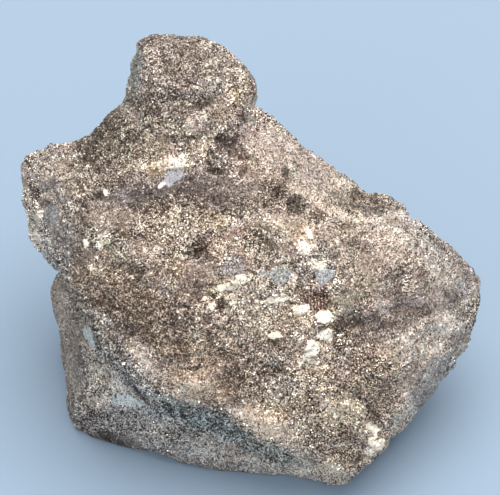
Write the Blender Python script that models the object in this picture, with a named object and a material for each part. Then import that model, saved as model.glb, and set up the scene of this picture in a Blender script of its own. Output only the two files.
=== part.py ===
"""A hand specimen of native antimony: one broken lump of granular metal, 60 mm across, resting on its base.

The lump is laid out in millimetres in the frame of its large broken face: x runs to the right across the face,
v up the face and w out of it. The face looks up at FACE_TILT above the horizon once the lump rests on its base.
Places on the face are given as they appear from VIEW_DISTANCE in front of it, so a corner that lies deeper is
really a little further from the middle than its x and v say.
"""

import math

import bmesh
import bpy
import numpy as np
from mathutils import Vector, noise

MM = 0.001

# How the lump rests
FACE_TILT = math.radians(50)  # the broken face's normal, above the horizon
FACE_HEIGHT = 25.3  # height of the broken face's origin above the surface that the lump rests on
VIEW_DISTANCE = 500.0

# Fineness of the solid
VOXEL = 0.7  # grid on which the lobes grow together
SOFTENING = 6  # rounds of smoothing that melt the seams between the lobes
SWELL = 0.25  # what the skin loses by that smoothing
TRIANGLES = 9900

# Broken surface: blocks of metal that meet at ledges, as (size, slope of a block's top, step between two blocks)
BLOCKS = ((8.0, 0.045, 0.38), (3.6, 0.055, 0.15))
WAVES = ((12.0, 0.70), (5.0, 0.34))  # low swells, as (length, height)

# Lobes in the frame of the broken face: corners (x, v, w) of convex blocks
SLAB = [
    (-28.6, 11.6, 1.0), (-29.0, 7.0, 0.8), (-27.6, 2.0, 0.8), (-24.6, -3.4, 2.4), (-23.4, -7.2, 3.4),
    (-20.6, -12.0, 4.6), (-14.4, -18.8, 5.0), (-8.0, -19.7, 6.0), (0.0, -22.4, 5.2), (9.0, -28.0, 2.2),
    (13.4, -29.5, -0.6), (17.8, -26.0, -0.4), (19.8, -21.6, 0.8), (21.0, -17.0, 2.0), (26.6, -13.6, -2.2),
    (28.6, -9.6, -3.2), (29.4, -4.4, -3.4), (24.0, 1.0, 0.8), (19.0, 4.4, 2.4), (13.0, 4.6, 4.6),
    (9.0, 5.2, 6.0), (0.0, 11.0, 6.2), (-15.0, 14.0, 5.0), (-22.0, 12.0, 3.4),
    (-16.0, 1.0, 7.8), (-2.0, -3.0, 9.4), (8.0, -9.0, 9.0), (-6.0, -12.0, 8.4), (4.0, 2.0, 8.8),
    (14.0, -4.0, 7.8), (12.0, -17.0, 7.0), (0.0, -18.0, 7.2), (22.0, -4.0, 3.6), (20.0, -11.0, 4.4),
    (-23.0, 8.0, -9.0), (-20.0, -4.0, -11.0), (-11.0, -15.0, -10.0), (2.0, -20.0, -11.0), (14.0, -22.0, -14.0),
    (22.0, -12.0, -14.0), (22.0, -3.0, -14.0), (8.0, 7.0, -12.0), (-8.0, 12.0, -12.0),
]
KNOB = [
    (-14.8, 27.2, 4.2), (-13.0, 28.2, 3.0), (-6.6, 28.2, 3.4), (-3.9, 27.3, 3.6), (-1.0, 25.0, 3.0),
    (0.6, 22.4, 2.0), (0.6, 19.8, 2.0), (-5.0, 24.4, 6.2), (-13.8, 25.4, 6.2), (-14.2, 19.0, 7.0),
    (-3.6, 18.4, 7.4), (-15.9, 26.4, 0.0), (-16.5, 21.5, -1.0), (-12.0, 27.4, -6.0), (-4.0, 25.4, -8.0),
    (0.6, 21.2, -5.0), (-16.0, 18.0, -8.0), (-1.0, 15.0, -10.0), (-16.0, 12.0, 5.0), (-3.0, 12.0, 6.5),
]
SHOULDER = [
    (-16.4, 19.3, 0.0), (-18.9, 17.2, 0.0), (-20.4, 15.0, 0.4), (-22.4, 12.4, -0.5),
    (-15.5, 17.4, 5.0), (-21.0, 12.4, 4.0), (-25.5, 10.0, 2.8), (-14.0, 8.0, 7.0), (-22.0, 6.0, 5.5),
    (-15.0, 17.4, -10.0), (-22.0, 11.0, -11.0), (-10.0, 5.0, -10.0),
]
LEFT_HORN = [
    (-30.4, 12.6, -2.0), (-28.2, 13.4, -2.0), (-30.8, 9.8, -2.4), (-30.5, 6.2, -3.0), (-29.3, 2.2, -3.4),
    (-27.4, -0.8, -3.4), (-25.6, -3.2, -3.0), (-24.4, 14.4, -1.0), (-21.2, 15.3, -1.0), (-27.0, 11.0, 2.4),
    (-28.0, 7.0, 1.6), (-23.4, -2.4, 3.2), (-23.0, 6.0, 4.8), (-25.0, 9.0, -12.0), (-23.0, -2.0, -13.0),
    (-15.0, 8.0, -10.0),
]
RIGHT_SLOPE = [
    (0.0, 17.6, -1.0), (5.0, 14.2, -1.5), (10.0, 11.3, -2.5), (13.0, 9.2, -3.5), (14.9, 7.7, -4.5),
    (-1.0, 14.0, 5.0), (4.0, 10.0, 6.0), (9.0, 6.6, 5.4), (10.6, 6.0, 4.0),
    (-2.0, 16.0, -14.0), (12.0, 6.0, -16.0), (0.0, 4.0, -10.0),
]
RIGHT_HORN = [
    (19.0, 5.4, -1.0), (22.6, 3.3, -2.0), (25.2, 1.4, -3.5), (28.1, -0.5, -5.0), (30.8, -3.5, -6.5),
    (30.8, -6.8, -6.5), (29.8, -9.7, -6.5), (29.6, -11.8, -6.5), (28.8, -14.0, -7.0), (26.0, -4.0, -0.6),
    (26.0, -11.0, -1.4), (18.0, -2.0, -14.0), (26.0, -8.0, -13.0), (10.0, 0.0, -10.0), (14.0, 4.4, 4.0),
]
RIGHT_BUMP = [
    (14.4, 8.0, -5.0), (15.8, 8.2, -5.0), (17.4, 8.2, -4.5), (19.6, 6.6, -3.5), (20.9, 4.7, -2.5),
    (16.0, 5.6, -1.6), (20.0, 3.0, -1.0), (16.0, 3.0, -14.0), (22.0, 1.0, -12.0), (10.0, 3.0, -10.0),
]
RIGHT_UNDERSIDE = [
    (27.0, -15.0, -7.0), (25.2, -17.0, -8.0), (22.9, -18.2, -8.0), (20.8, -19.6, -8.0), (19.0, -21.6, -7.5),
    (28.2, -13.4, -7.0), (19.6, -25.0, -6.5), (17.8, -26.6, -6.5), (14.7, -28.2, -7.0), (20.5, -16.0, -0.8),
    (26.9, -12.6, -3.4), (24.0, -11.0, -1.6), (12.0, -26.0, -2.4), (20.0, -10.0, -16.0), (10.0, -20.0, -20.0),
]
LEFT_BLOCK = [
    (-26.0, -4.6, -10.0), (-25.7, -8.0, -11.0), (-24.9, -13.0, -12.5), (-24.3, -18.0, -14.0),
    (-23.5, -22.8, -15.9), (-21.8, -25.0, -14.4), (-23.6, -6.0, -4.0), (-22.1, -10.0, -3.0),
    (-21.7, -15.0, -3.7), (-22.0, -19.8, -5.6), (-15.5, -19.8, -3.4), (-16.0, -14.0, -1.5),
    (-20.0, -25.9, -13.4), (-15.0, -27.2, -12.3), (-10.0, -10.0, -25.0), (-20.0, -12.0, -26.0),
    (-24.4, -3.0, -19.0), (-8.0, -22.0, -14.0), (-20.0, 2.0, -14.0),
    (-20.4, -11.6, 1.6), (-17.2, -15.6, 2.0), (-14.4, -18.8, 1.8), (-18.4, -16.7, -2.9), (-14.0, -21.0, -3.4),
]
TOE = [
    (-16.0, -21.0, -4.2), (-10.0, -24.4, -5.2), (-5.0, -25.2, -4.9), (0.0, -26.3, -5.1), (5.0, -27.7, -5.5),
    (10.0, -29.4, -6.2), (13.3, -29.8, -6.8), (-15.0, -27.1, -12.3), (-10.0, -28.7, -11.1), (-5.0, -29.6, -10.4),
    (0.0, -30.4, -9.7), (5.0, -31.3, -9.0), (9.4, -31.3, -9.0), (11.6, -30.9, -9.5),
    (-16.6, -19.4, -2.4), (-14.6, -19.6, 0.8), (-8.0, -20.8, 2.2), (-3.0, -22.2, 2.0), (3.0, -25.6, 0.4),
    (8.2, -27.6, -1.0), (12.2, -28.9, -3.6),
    (-12.0, -19.0, -14.0), (0.0, -20.0, -14.0), (12.0, -24.0, -14.0),
]
FACE_LOBES = (
    SLAB, KNOB, SHOULDER, LEFT_HORN, RIGHT_SLOPE, RIGHT_HORN, RIGHT_BUMP, RIGHT_UNDERSIDE, LEFT_BLOCK, TOE,
)

# The foot and the back, in the frame that the lump rests in: corners (x, y, z) of convex blocks, z up
FOOT = [
    (-21.5, -9.5, -2.0), (-5.0, -15.2, -2.0), (10.0, -17.4, -2.0), (16.0, -10.0, -2.0), (15.0, 6.0, -2.0),
    (4.0, 14.0, -2.0), (-15.0, 11.5, -2.0), (-22.5, 3.0, -2.0),
    (-24.0, 5.0, 13.0), (-12.0, 15.5, 16.0), (6.0, 17.0, 14.0), (18.0, 9.0, 12.0), (19.0, -4.0, 9.0),
    (-19.0, -6.0, 12.0), (8.0, -10.0, 10.0),
]
BACK = [
    (-22.0, 4.0, 12.0), (-13.0, 16.0, 9.0), (5.0, 18.0, 8.0), (19.0, 9.0, 12.0), (-23.0, 10.0, 29.0),
    (-14.6, 22.6, 35.0), (-4.0, 22.8, 34.0), (7.0, 15.5, 27.0), (20.0, 9.0, 22.0), (-10.0, 0.0, 20.0),
    (10.0, -4.0, 16.0), (2.0, 20.5, 22.0), (-16.5, 19.0, 22.0), (-8.0, 21.6, 24.0),
]
REST_LOBES = (FOOT, BACK)

# Lumps (height above 0) and pits (below 0) of the broken face, as (x, v, half width, half height, height)
FACE_FORMS = [
    (-3.0, 14.0, 2.2, 1.5, -1.0), (-5.0, 10.5, 1.5, 0.9, -0.8), (-1.0, 17.2, 1.1, 1.4, -0.9),
    (-6.2, 0.0, 2.0, 2.2, -1.0), (8.7, -6.0, 2.6, 2.2, -0.9), (13.0, -9.4, 2.6, 1.4, -0.9),
    (14.6, 6.9, 4.6, 2.0, -1.7), (3.7, 7.3, 1.5, 1.5, -0.7), (6.0, 6.0, 1.8, 1.5, -0.8),
    (-21.2, 12.2, 1.6, 1.2, -0.6), (1.9, 1.5, 2.0, 2.0, -0.5), (11.6, -1.5, 1.3, 3.0, -0.6),
    (-12.5, 6.4, 4.5, 1.8, -0.6), (-7.5, 7.8, 3.2, 1.6, -0.6), (3.0, -15.8, 2.4, 1.4, -0.5),
    (-2.0, -17.5, 2.4, 3.0, -0.6), (21.0, -7.6, 3.4, 1.6, -0.6), (-15.0, -2.6, 2.4, 1.5, -0.4),
    (-7.0, 16.4, 3.4, 2.2, 0.7), (-10.2, 11.7, 3.4, 1.5, 0.6), (-15.0, -12.9, 3.4, 2.2, 0.7),
    (-8.0, -17.3, 3.6, 1.9, 0.6), (1.5, -22.3, 3.4, 2.2, 0.6), (9.6, -9.4, 2.1, 2.6, 0.5),
    (7.7, -13.4, 1.6, 2.2, 0.5), (-2.2, -4.2, 3.2, 1.6, 0.5), (-10.0, 3.5, 4.0, 3.0, 0.4),
    (25.2, -9.8, 3.2, 2.6, 0.6), (20.0, -12.4, 3.4, 2.8, 0.6), (17.0, -6.8, 1.8, 2.8, 0.4),
    (13.4, 4.1, 4.2, 1.2, 0.5), (7.6, 1.2, 2.0, 3.0, 0.5), (16.4, -24.6, 2.0, 2.6, 0.5),
    (12.2, -20.6, 3.4, 1.8, 0.5), (-18.5, -17.8, 3.0, 2.2, 0.4), (-25.6, 9.6, 2.4, 2.4, 0.4),
]
# The crease under the knob, and the seam that runs down from the left below the lip, as points (x, v)
KNOB_CREASE = [(-15.4, 20.2), (-12.6, 19.0), (-9.0, 19.6), (-6.0, 19.2), (-3.6, 20.4)]
LEFT_SEAM = [(-22.0, -9.5), (-21.2, -13.4), (-18.4, -16.7), (-16.2, -18.6), (-13.4, -21.0)]
CREASES = ((KNOB_CREASE, 1.1, 0.5), (LEFT_SEAM, 0.9, 0.35))  # (points, half width, depth)

# Flat cleavage faces, as (x, v, half width, half height, added lean to the right, added lean upwards)
CLEAVAGE = [
    (-11.2, 9.2, 2.2, 1.4, -0.10, 0.16), (-25.0, 3.6, 1.5, 2.2, -0.04, 0.05), (-3.4, -2.0, 2.2, 1.9, 0.06, 0.14),
    (4.2, -3.0, 2.4, 1.6, -0.06, 0.10), (9.6, -3.2, 1.7, 1.4, 0.10, 0.16), (12.0, -6.4, 2.2, 1.6, 0.10, 0.02),
]


def face_axes():
    """The directions of x, v and w in the frame that the lump rests in."""
    right = Vector((1.0, 0.0, 0.0))
    up_face = Vector((0.0, math.sin(FACE_TILT), math.cos(FACE_TILT)))
    out_of_face = Vector((0.0, -math.cos(FACE_TILT), math.sin(FACE_TILT)))
    return right, up_face, out_of_face


def from_face(corner):
    """A corner (x, v, w) in the frame that the lump rests in."""
    x, v, w = corner
    nearness = 1.0 - w / VIEW_DISTANCE
    right, up_face, out_of_face = face_axes()
    return right * x * nearness + up_face * v * nearness + out_of_face * w + Vector((0.0, 0.0, FACE_HEIGHT))


def to_face(place):
    """The (x, v, w) at which a place in the frame that the lump rests in appears."""
    right, up_face, out_of_face = face_axes()
    seen = place - Vector((0.0, 0.0, FACE_HEIGHT))
    w = seen.dot(out_of_face)
    nearness = 1.0 - w / VIEW_DISTANCE
    return seen.dot(right) / nearness, seen.dot(up_face) / nearness, w


def clear_scene():
    for obj in list(bpy.data.objects):
        bpy.data.objects.remove(obj)


def add_block(bm, corners):
    """Adds the convex block with these corners."""
    verts = [bm.verts.new(corner) for corner in corners]
    hull = bmesh.ops.convex_hull(bm, input=verts)
    spare = [item for item in hull["geom_interior"] if isinstance(item, bmesh.types.BMVert)]
    bmesh.ops.delete(bm, geom=spare, context="VERTS")


def mesh_with_modifiers(mesh, settings):
    """The mesh as these modifiers leave it. Each is (type, values)."""
    obj = bpy.data.objects.new("work", mesh)
    bpy.context.scene.collection.objects.link(obj)
    for kind, values in settings:
        modifier = obj.modifiers.new(kind.lower(), kind)
        for name, value in values.items():
            setattr(modifier, name, value)
    changed = bpy.data.meshes.new_from_object(obj.evaluated_get(bpy.context.evaluated_depsgraph_get()))
    bpy.data.objects.remove(obj)
    return changed


def grown_lobes():
    """All lobes grown together into one closed skin, with the seams between them melted."""
    bm = bmesh.new()
    for corners in FACE_LOBES:
        add_block(bm, [from_face(corner) for corner in corners])
    for corners in REST_LOBES:
        add_block(bm, corners)
    bmesh.ops.recalc_face_normals(bm, faces=bm.faces)
    mesh = bpy.data.meshes.new("lobes")
    bm.to_mesh(mesh)
    bm.free()
    grow = ("REMESH", {"mode": "VOXEL", "voxel_size": VOXEL})
    soften = ("SMOOTH", {"factor": 0.5, "iterations": SOFTENING})
    return mesh_with_modifiers(mesh, (grow, soften))


def hump(distance):
    """1 in the middle of a form and 0 from its edge outwards."""
    return max(0.0, 1.0 - distance * distance) ** 2


def distance_to_line(x, v, points):
    best = math.inf
    here = Vector((x, v))
    for start, end in zip(points, points[1:]):
        a = Vector(start)
        b = Vector(end)
        along = max(0.0, min(1.0, (here - a).dot(b - a) / (b - a).length_squared))
        best = min(best, (here - a - (b - a) * along).length)
    return best


def form_height(x, v):
    """How far the lumps, pits and creases of the broken face stand out at a place on it."""
    height = sum(
        rise * hump(math.hypot((x - cx) / half_x, (v - cv) / half_v)) for cx, cv, half_x, half_v, rise in FACE_FORMS
    )
    for points, half_width, depth in CREASES:
        height -= depth * hump(distance_to_line(x, v, points) / half_width)
    return height


def broken_height(place):
    """How far the blocks and swells of the broken metal stand out at a place."""
    height = 0.0
    for size, slope, step in BLOCKS:
        seeds = noise.voronoi(place / size)[1]
        nearest = Vector(seeds[0])
        lean = noise.cell_vector(nearest * 7.3) * 2.0 - Vector((1.0, 1.0, 1.0))
        height += lean.dot(place - nearest * size) * slope
        height += (noise.cell(nearest * 5.1) - 0.5) * step
    for length, rise in WAVES:
        height += noise.noise(place / length) * rise
    return height


def break_surface(bm):
    """Moves the skin in and out by the lumps, pits, creases and blocks."""
    bm.normal_update()
    out_of_face = face_axes()[2]
    moves = []
    for vert in bm.verts:
        x, v, w = to_face(vert.co)
        facing = max(0.0, vert.normal.dot(out_of_face))
        move = vert.normal * (SWELL + broken_height(vert.co))
        if w > -9.0:
            move += out_of_face * form_height(x, v) * min(1.0, facing * 1.6)
        moves.append(move)
    for vert, move in zip(bm.verts, moves):
        vert.co += move


def cleave(bm):
    """Flattens the skin to a plane inside each cleavage face."""
    bm.normal_update()
    out_of_face = face_axes()[2]
    for cx, cv, half_x, half_v, lean_right, lean_up in CLEAVAGE:
        inside = []
        for vert in bm.verts:
            x, v, w = to_face(vert.co)
            near = max(abs(x - cx) / half_x, abs(v - cv) / half_v) < 1.0
            if near and w > -13.0 and vert.normal.dot(out_of_face) > 0.25:
                inside.append((vert, x - cx, v - cv, w))
        if len(inside) < 6:
            continue
        table = np.array([(1.0, dx, dv, w) for _, dx, dv, w in inside])
        level, slope_right, slope_up = np.linalg.lstsq(table[:, :3], table[:, 3], rcond=None)[0]
        for vert, dx, dv, w in inside:
            wanted = level + (slope_right + lean_right) * dx + (slope_up + lean_up) * dv
            vert.co += out_of_face * (wanted - w)


def flat_base(bm):
    """Cuts the foot off level, and closes it with one flat face."""
    everything = bm.verts[:] + bm.edges[:] + bm.faces[:]
    cut = bmesh.ops.bisect_plane(
        bm, geom=everything, dist=0.00001, plane_co=(0.0, 0.0, 0.0), plane_no=(0.0, 0.0, 1.0), clear_inner=True
    )
    rim = [item for item in cut["geom_cut"] if isinstance(item, bmesh.types.BMEdge)]
    bmesh.ops.triangle_fill(bm, use_beauty=True, use_dissolve=False, edges=rim, normal=(0.0, 0.0, -1.0))


def centre_on_base(bm):
    """Puts the origin on the resting surface, below the middle of the lump's bounding box."""
    for axis in (0, 1):
        reach = [vert.co[axis] for vert in bm.verts]
        shift = Vector((0.0, 0.0, 0.0))
        shift[axis] = -(min(reach) + max(reach)) / 2.0
        bmesh.ops.translate(bm, vec=shift, verts=bm.verts)


def ore_material():
    material = bpy.data.materials.new("antimony_ore")
    material.use_nodes = True
    shader = material.node_tree.nodes["Principled BSDF"]
    shader.inputs["Base Color"].default_value = (0.36, 0.32, 0.28, 1.0)
    shader.inputs["Metallic"].default_value = 0.6
    shader.inputs["Roughness"].default_value = 0.45
    return material


def main():
    clear_scene()
    mesh = grown_lobes()
    bm = bmesh.new()
    bm.from_mesh(mesh)
    break_surface(bm)
    cleave(bm)
    bm.to_mesh(mesh)
    bm.free()
    triangles = sum(len(face.vertices) - 2 for face in mesh.polygons)
    thin = ("DECIMATE", {"decimate_type": "COLLAPSE", "ratio": TRIANGLES / triangles, "use_collapse_triangulate": True})
    mesh = mesh_with_modifiers(mesh, (thin,))
    bm = bmesh.new()
    bm.from_mesh(mesh)
    flat_base(bm)
    bmesh.ops.triangulate(bm, faces=bm.faces)
    centre_on_base(bm)
    bmesh.ops.scale(bm, vec=(MM, MM, MM), verts=bm.verts)
    bm.to_mesh(mesh)
    bm.free()
    mesh.materials.clear()
    mesh.materials.append(ore_material())
    mesh.name = "antimony_lump"
    obj = bpy.data.objects.new("antimony_lump", mesh)
    bpy.context.scene.collection.objects.link(obj)


main()
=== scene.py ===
"""The looks of the native antimony specimen: its granular metal skin as fine mesh, the crystals on it, its
bright cleavage faces, and a pale studio. Lengths are millimetres until a mesh goes into the frame.

Places on the broken face are (x, v): to the right and up across it as the camera sees it, from its middle.
w is the height out of it. A spot is an ellipse on it: (x, v, half width, half height, turn in degrees). The
turn is left out where it is 0 and nothing follows it.
"""

import math

import bpy
import numpy as np
from mathutils import Matrix, Vector

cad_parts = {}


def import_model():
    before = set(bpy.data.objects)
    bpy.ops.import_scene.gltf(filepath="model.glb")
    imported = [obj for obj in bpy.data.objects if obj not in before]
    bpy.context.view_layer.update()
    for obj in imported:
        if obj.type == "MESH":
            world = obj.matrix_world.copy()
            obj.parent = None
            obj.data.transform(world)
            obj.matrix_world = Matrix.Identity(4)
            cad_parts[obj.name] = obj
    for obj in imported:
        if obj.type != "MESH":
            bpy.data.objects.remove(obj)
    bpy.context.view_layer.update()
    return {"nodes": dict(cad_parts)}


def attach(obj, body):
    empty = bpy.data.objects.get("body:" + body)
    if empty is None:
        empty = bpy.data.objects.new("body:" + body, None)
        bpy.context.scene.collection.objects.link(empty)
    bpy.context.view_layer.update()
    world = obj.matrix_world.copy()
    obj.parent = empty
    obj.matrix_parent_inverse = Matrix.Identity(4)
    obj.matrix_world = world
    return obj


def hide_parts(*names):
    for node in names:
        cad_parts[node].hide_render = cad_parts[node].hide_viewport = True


MM = 0.001
NODE = "antimony_lump"

# The broken face in the part's frame
FACE_TILT = math.radians(50.0)
FACE_MIDDLE = np.array((-0.20, -1.30, 25.3))
RIGHT = np.array((1.0, 0.0, 0.0))
UP_FACE = np.array((0.0, math.sin(FACE_TILT), math.cos(FACE_TILT)))
OUT_OF_FACE = np.array((0.0, -math.cos(FACE_TILT), math.sin(FACE_TILT)))

# The camera looks straight at the face. The lump is 60 mm wide and takes 458 of the picture's 500 pixels
VIEW_DISTANCE = 500.0
PICTURE_PIXELS = 500
MM_PER_PIXEL = 60.0 / 458.0
AIM_UP = 2.5 * MM_PER_PIXEL
SENSOR_WIDTH = 36.0

# The fine skin
CELL = 0.205  # edge of its mesh cells
MELT = 0.55  # how far the solid's own facets are melted into one another
SPLIT_HEIGHT = -6.0  # height w between the face's pieces and the back's
SKIN_PIECES = ("skin_face_left", "skin_face_right", "skin_back_left", "skin_back_right")
RELIEF_START = 0.1  # height above the base where the relief starts, and how much higher it is whole
RELIEF_RISE = 0.8

# Grains of the broken metal, as (size, height of a step, slope of a face, seed)
GRAINS = (
    (2.4, 0.07, 0.12, 101),
    (1.1, 0.05, 0.20, 111),
    (0.55, 0.035, 0.24, 121),
)
SWELLS = ((3.2, 0.30, 131), (1.2, 0.13, 135))  # low lumps of the skin, as (size, height, seed)
DOMAIN = 3.4  # size of a part of the metal in which the cleavage faces are parallel
FACE_STRAY = 0.25  # how far a grain's face strays from its domain's
GROOVE_DEPTH = 0.10  # of the groove between two grains, and its width, in sizes of a grain
GROOVE_WIDTH = 0.14
HOLLOW_DEPTH = 0.8
WHITE_LIFT = 0.12  # how far white crystals stand out
EDGE_ON = 0.45  # share of the relief that is left where the skin is seen edge-on

# Small crystals that stand on the skin
CRYSTALS = 27000
CRYSTAL_PIECES = 4
CRYSTAL_SPLIT = -3.0  # height w between the pieces in front and behind
CRYSTAL_SIZE = 0.088  # usual half of an edge, how widely it differs, and its limits
CRYSTAL_SPREAD = 0.38
CRYSTAL_LIMITS = (0.05, 0.28)
CRYSTAL_SHAPE = (0.55, 1.35)  # least and most of a half edge, in usual ones
CRYSTAL_CORNER = 0.82  # how far in the corners are at most
CRYSTAL_TONE = (0.5, 0.9)  # steps brighter than the skin, and how widely that differs
CRYSTAL_LEAN = 0.10  # how far one leans out of its domain's cleavage
CRYSTAL_DEPTH = 0.25  # how deep its middle lies, in half edges
LOWEST_CRYSTAL = 0.8
CRYSTAL_SEED = 5

# Brightness of the metal, in steps of doubling below white, and tints as (red, green, blue)
TONE = -1.85
DARKEST = -5.5
WARMTH = (1.06, 0.985, 0.955)
PLAIN_TINT = (0, 0, 0)  # in percent
WHITE_TONE = 0.4
WHITE_TINT = (0.99, 0.985, 0.955)
CREAM_TONE = 0.1
CREAM_TINT = (1.02, 0.985, 0.93)
PATCH_MOTTLE = 0.42  # how much brighter or darker patches and veins are
VEIN_MOTTLE = 0.09
AREA_TINT = 0.7  # how far an area's tint takes the place of the metal's own
SPOT_STRENGTH = 1.4
CHIP_TONE = -0.5  # brightness of the small bare chips
# The pits are painted shade: they are only darker, with no hollow in the mesh under them
PIT_SHADE = 1.4  # how much darker the small pits are
# The blue tint of the hidden cleavage faces is a painted reflection of the blue room, as on the broken face
HIDDEN_PLATE = (-1.3, 0.91, 1.01, 1.14)  # brightness and tint of the cleavage faces on the hidden sides
GREY_COAT = (0.86, 1.02, 1.14)  # tint of the greyer, smoother skin that covers parts of the sides
LINE_SHADE = 0.8  # how much darker the lined patch is
SKIN_METALLIC = 0.30
MIRROR_METALLIC = 0.55

# Shares of sparkle and dark dots among the grains: (in metal of brightness TONE, more per step, least,
# most).
# The sparkle dots are painted highlights: glints of the light painted into the colour. The dark dots are
# partly the metal's own dark grains and partly painted shade of grains turned from the light
SPARKLE_SHARE = (0.23, 0.18, 0.06, 0.5)
DARK_SHARE = (0.345, -0.04, 0.04, 0.43)

# The two metals, as (contrast between grains, roughness, how far a grain's face leans)
SKIN_METAL = (1.6, 0.40, 0.55)
CRYSTAL_METAL = (0.5, 0.25, 0.25)

# The metal's grain: small grains, large ones and flashing facets in a millimetre, and the clouds among them
SMALL_GRAINS = 7.9
LARGE_GRAINS = 3.3
FACETS = 7.2
CLOUD = {"Scale": 2.0, "Detail": 4.0, "Roughness": 0.75}
CLUMPING = 0.4  # how much the dots keep to the same large grains
MIRROR_CALM = 0.85  # how much of the grain is missing on a cleavage face
# The sparkle dots' brightness is a painted highlight
SPARKLE_DOT = 0.0  # brightness of the light and the dark dots
DARK_DOT = -5.5
SPARKS = 0.14  # how many facets flash, as a share of the light dots
FLASH = (0.058, -0.250, 0.967)  # the way that they face
FLASH_ROUGHNESS = 0.17
FLASH_SCATTER = 0.25
WHITE_FACED = 0.78  # how far the faces of the white crystals lie that way too

# The metal's colour from its darkest grain to its brightest: (steps below white, red, green, blue)
METAL_COLOURS = (
    (-5.5, 0.034, 0.021, 0.012),
    (-4.1, 0.079, 0.056, 0.039),
    (-3.05, 0.149, 0.115, 0.088),
    (-2.25, 0.249, 0.201, 0.161),
    (-1.6, 0.380, 0.316, 0.260),
    (-1.05, 0.548, 0.467, 0.391),
    (-0.57, 0.758, 0.655, 0.556),
    (0.0, 0.980, 0.915, 0.810),
)

# The studio, in metres. A light is (place, size, watts, colour). The key light is large, above and a little
# behind. The fill light is weak and in front
FLOOR_HALF = 1.5
FLOOR_COLOUR = (0.34, 0.44, 0.555)
FLOOR_ROUGHNESS = 0.9
KEY_LIGHT = ((0.06, 0.11, 0.58), 0.60, 4.0, (1.0, 0.98, 0.95))
FILL_LIGHT = ((-0.25, -0.45, 0.30), 0.40, 0.4, (0.95, 0.98, 1.0))
LIT_PLACE = (0.0, 0.0, 0.02)
ROOM_COLOUR = (0.86, 0.93, 1.0)
ROOM_STRENGTH = 0.60
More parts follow.
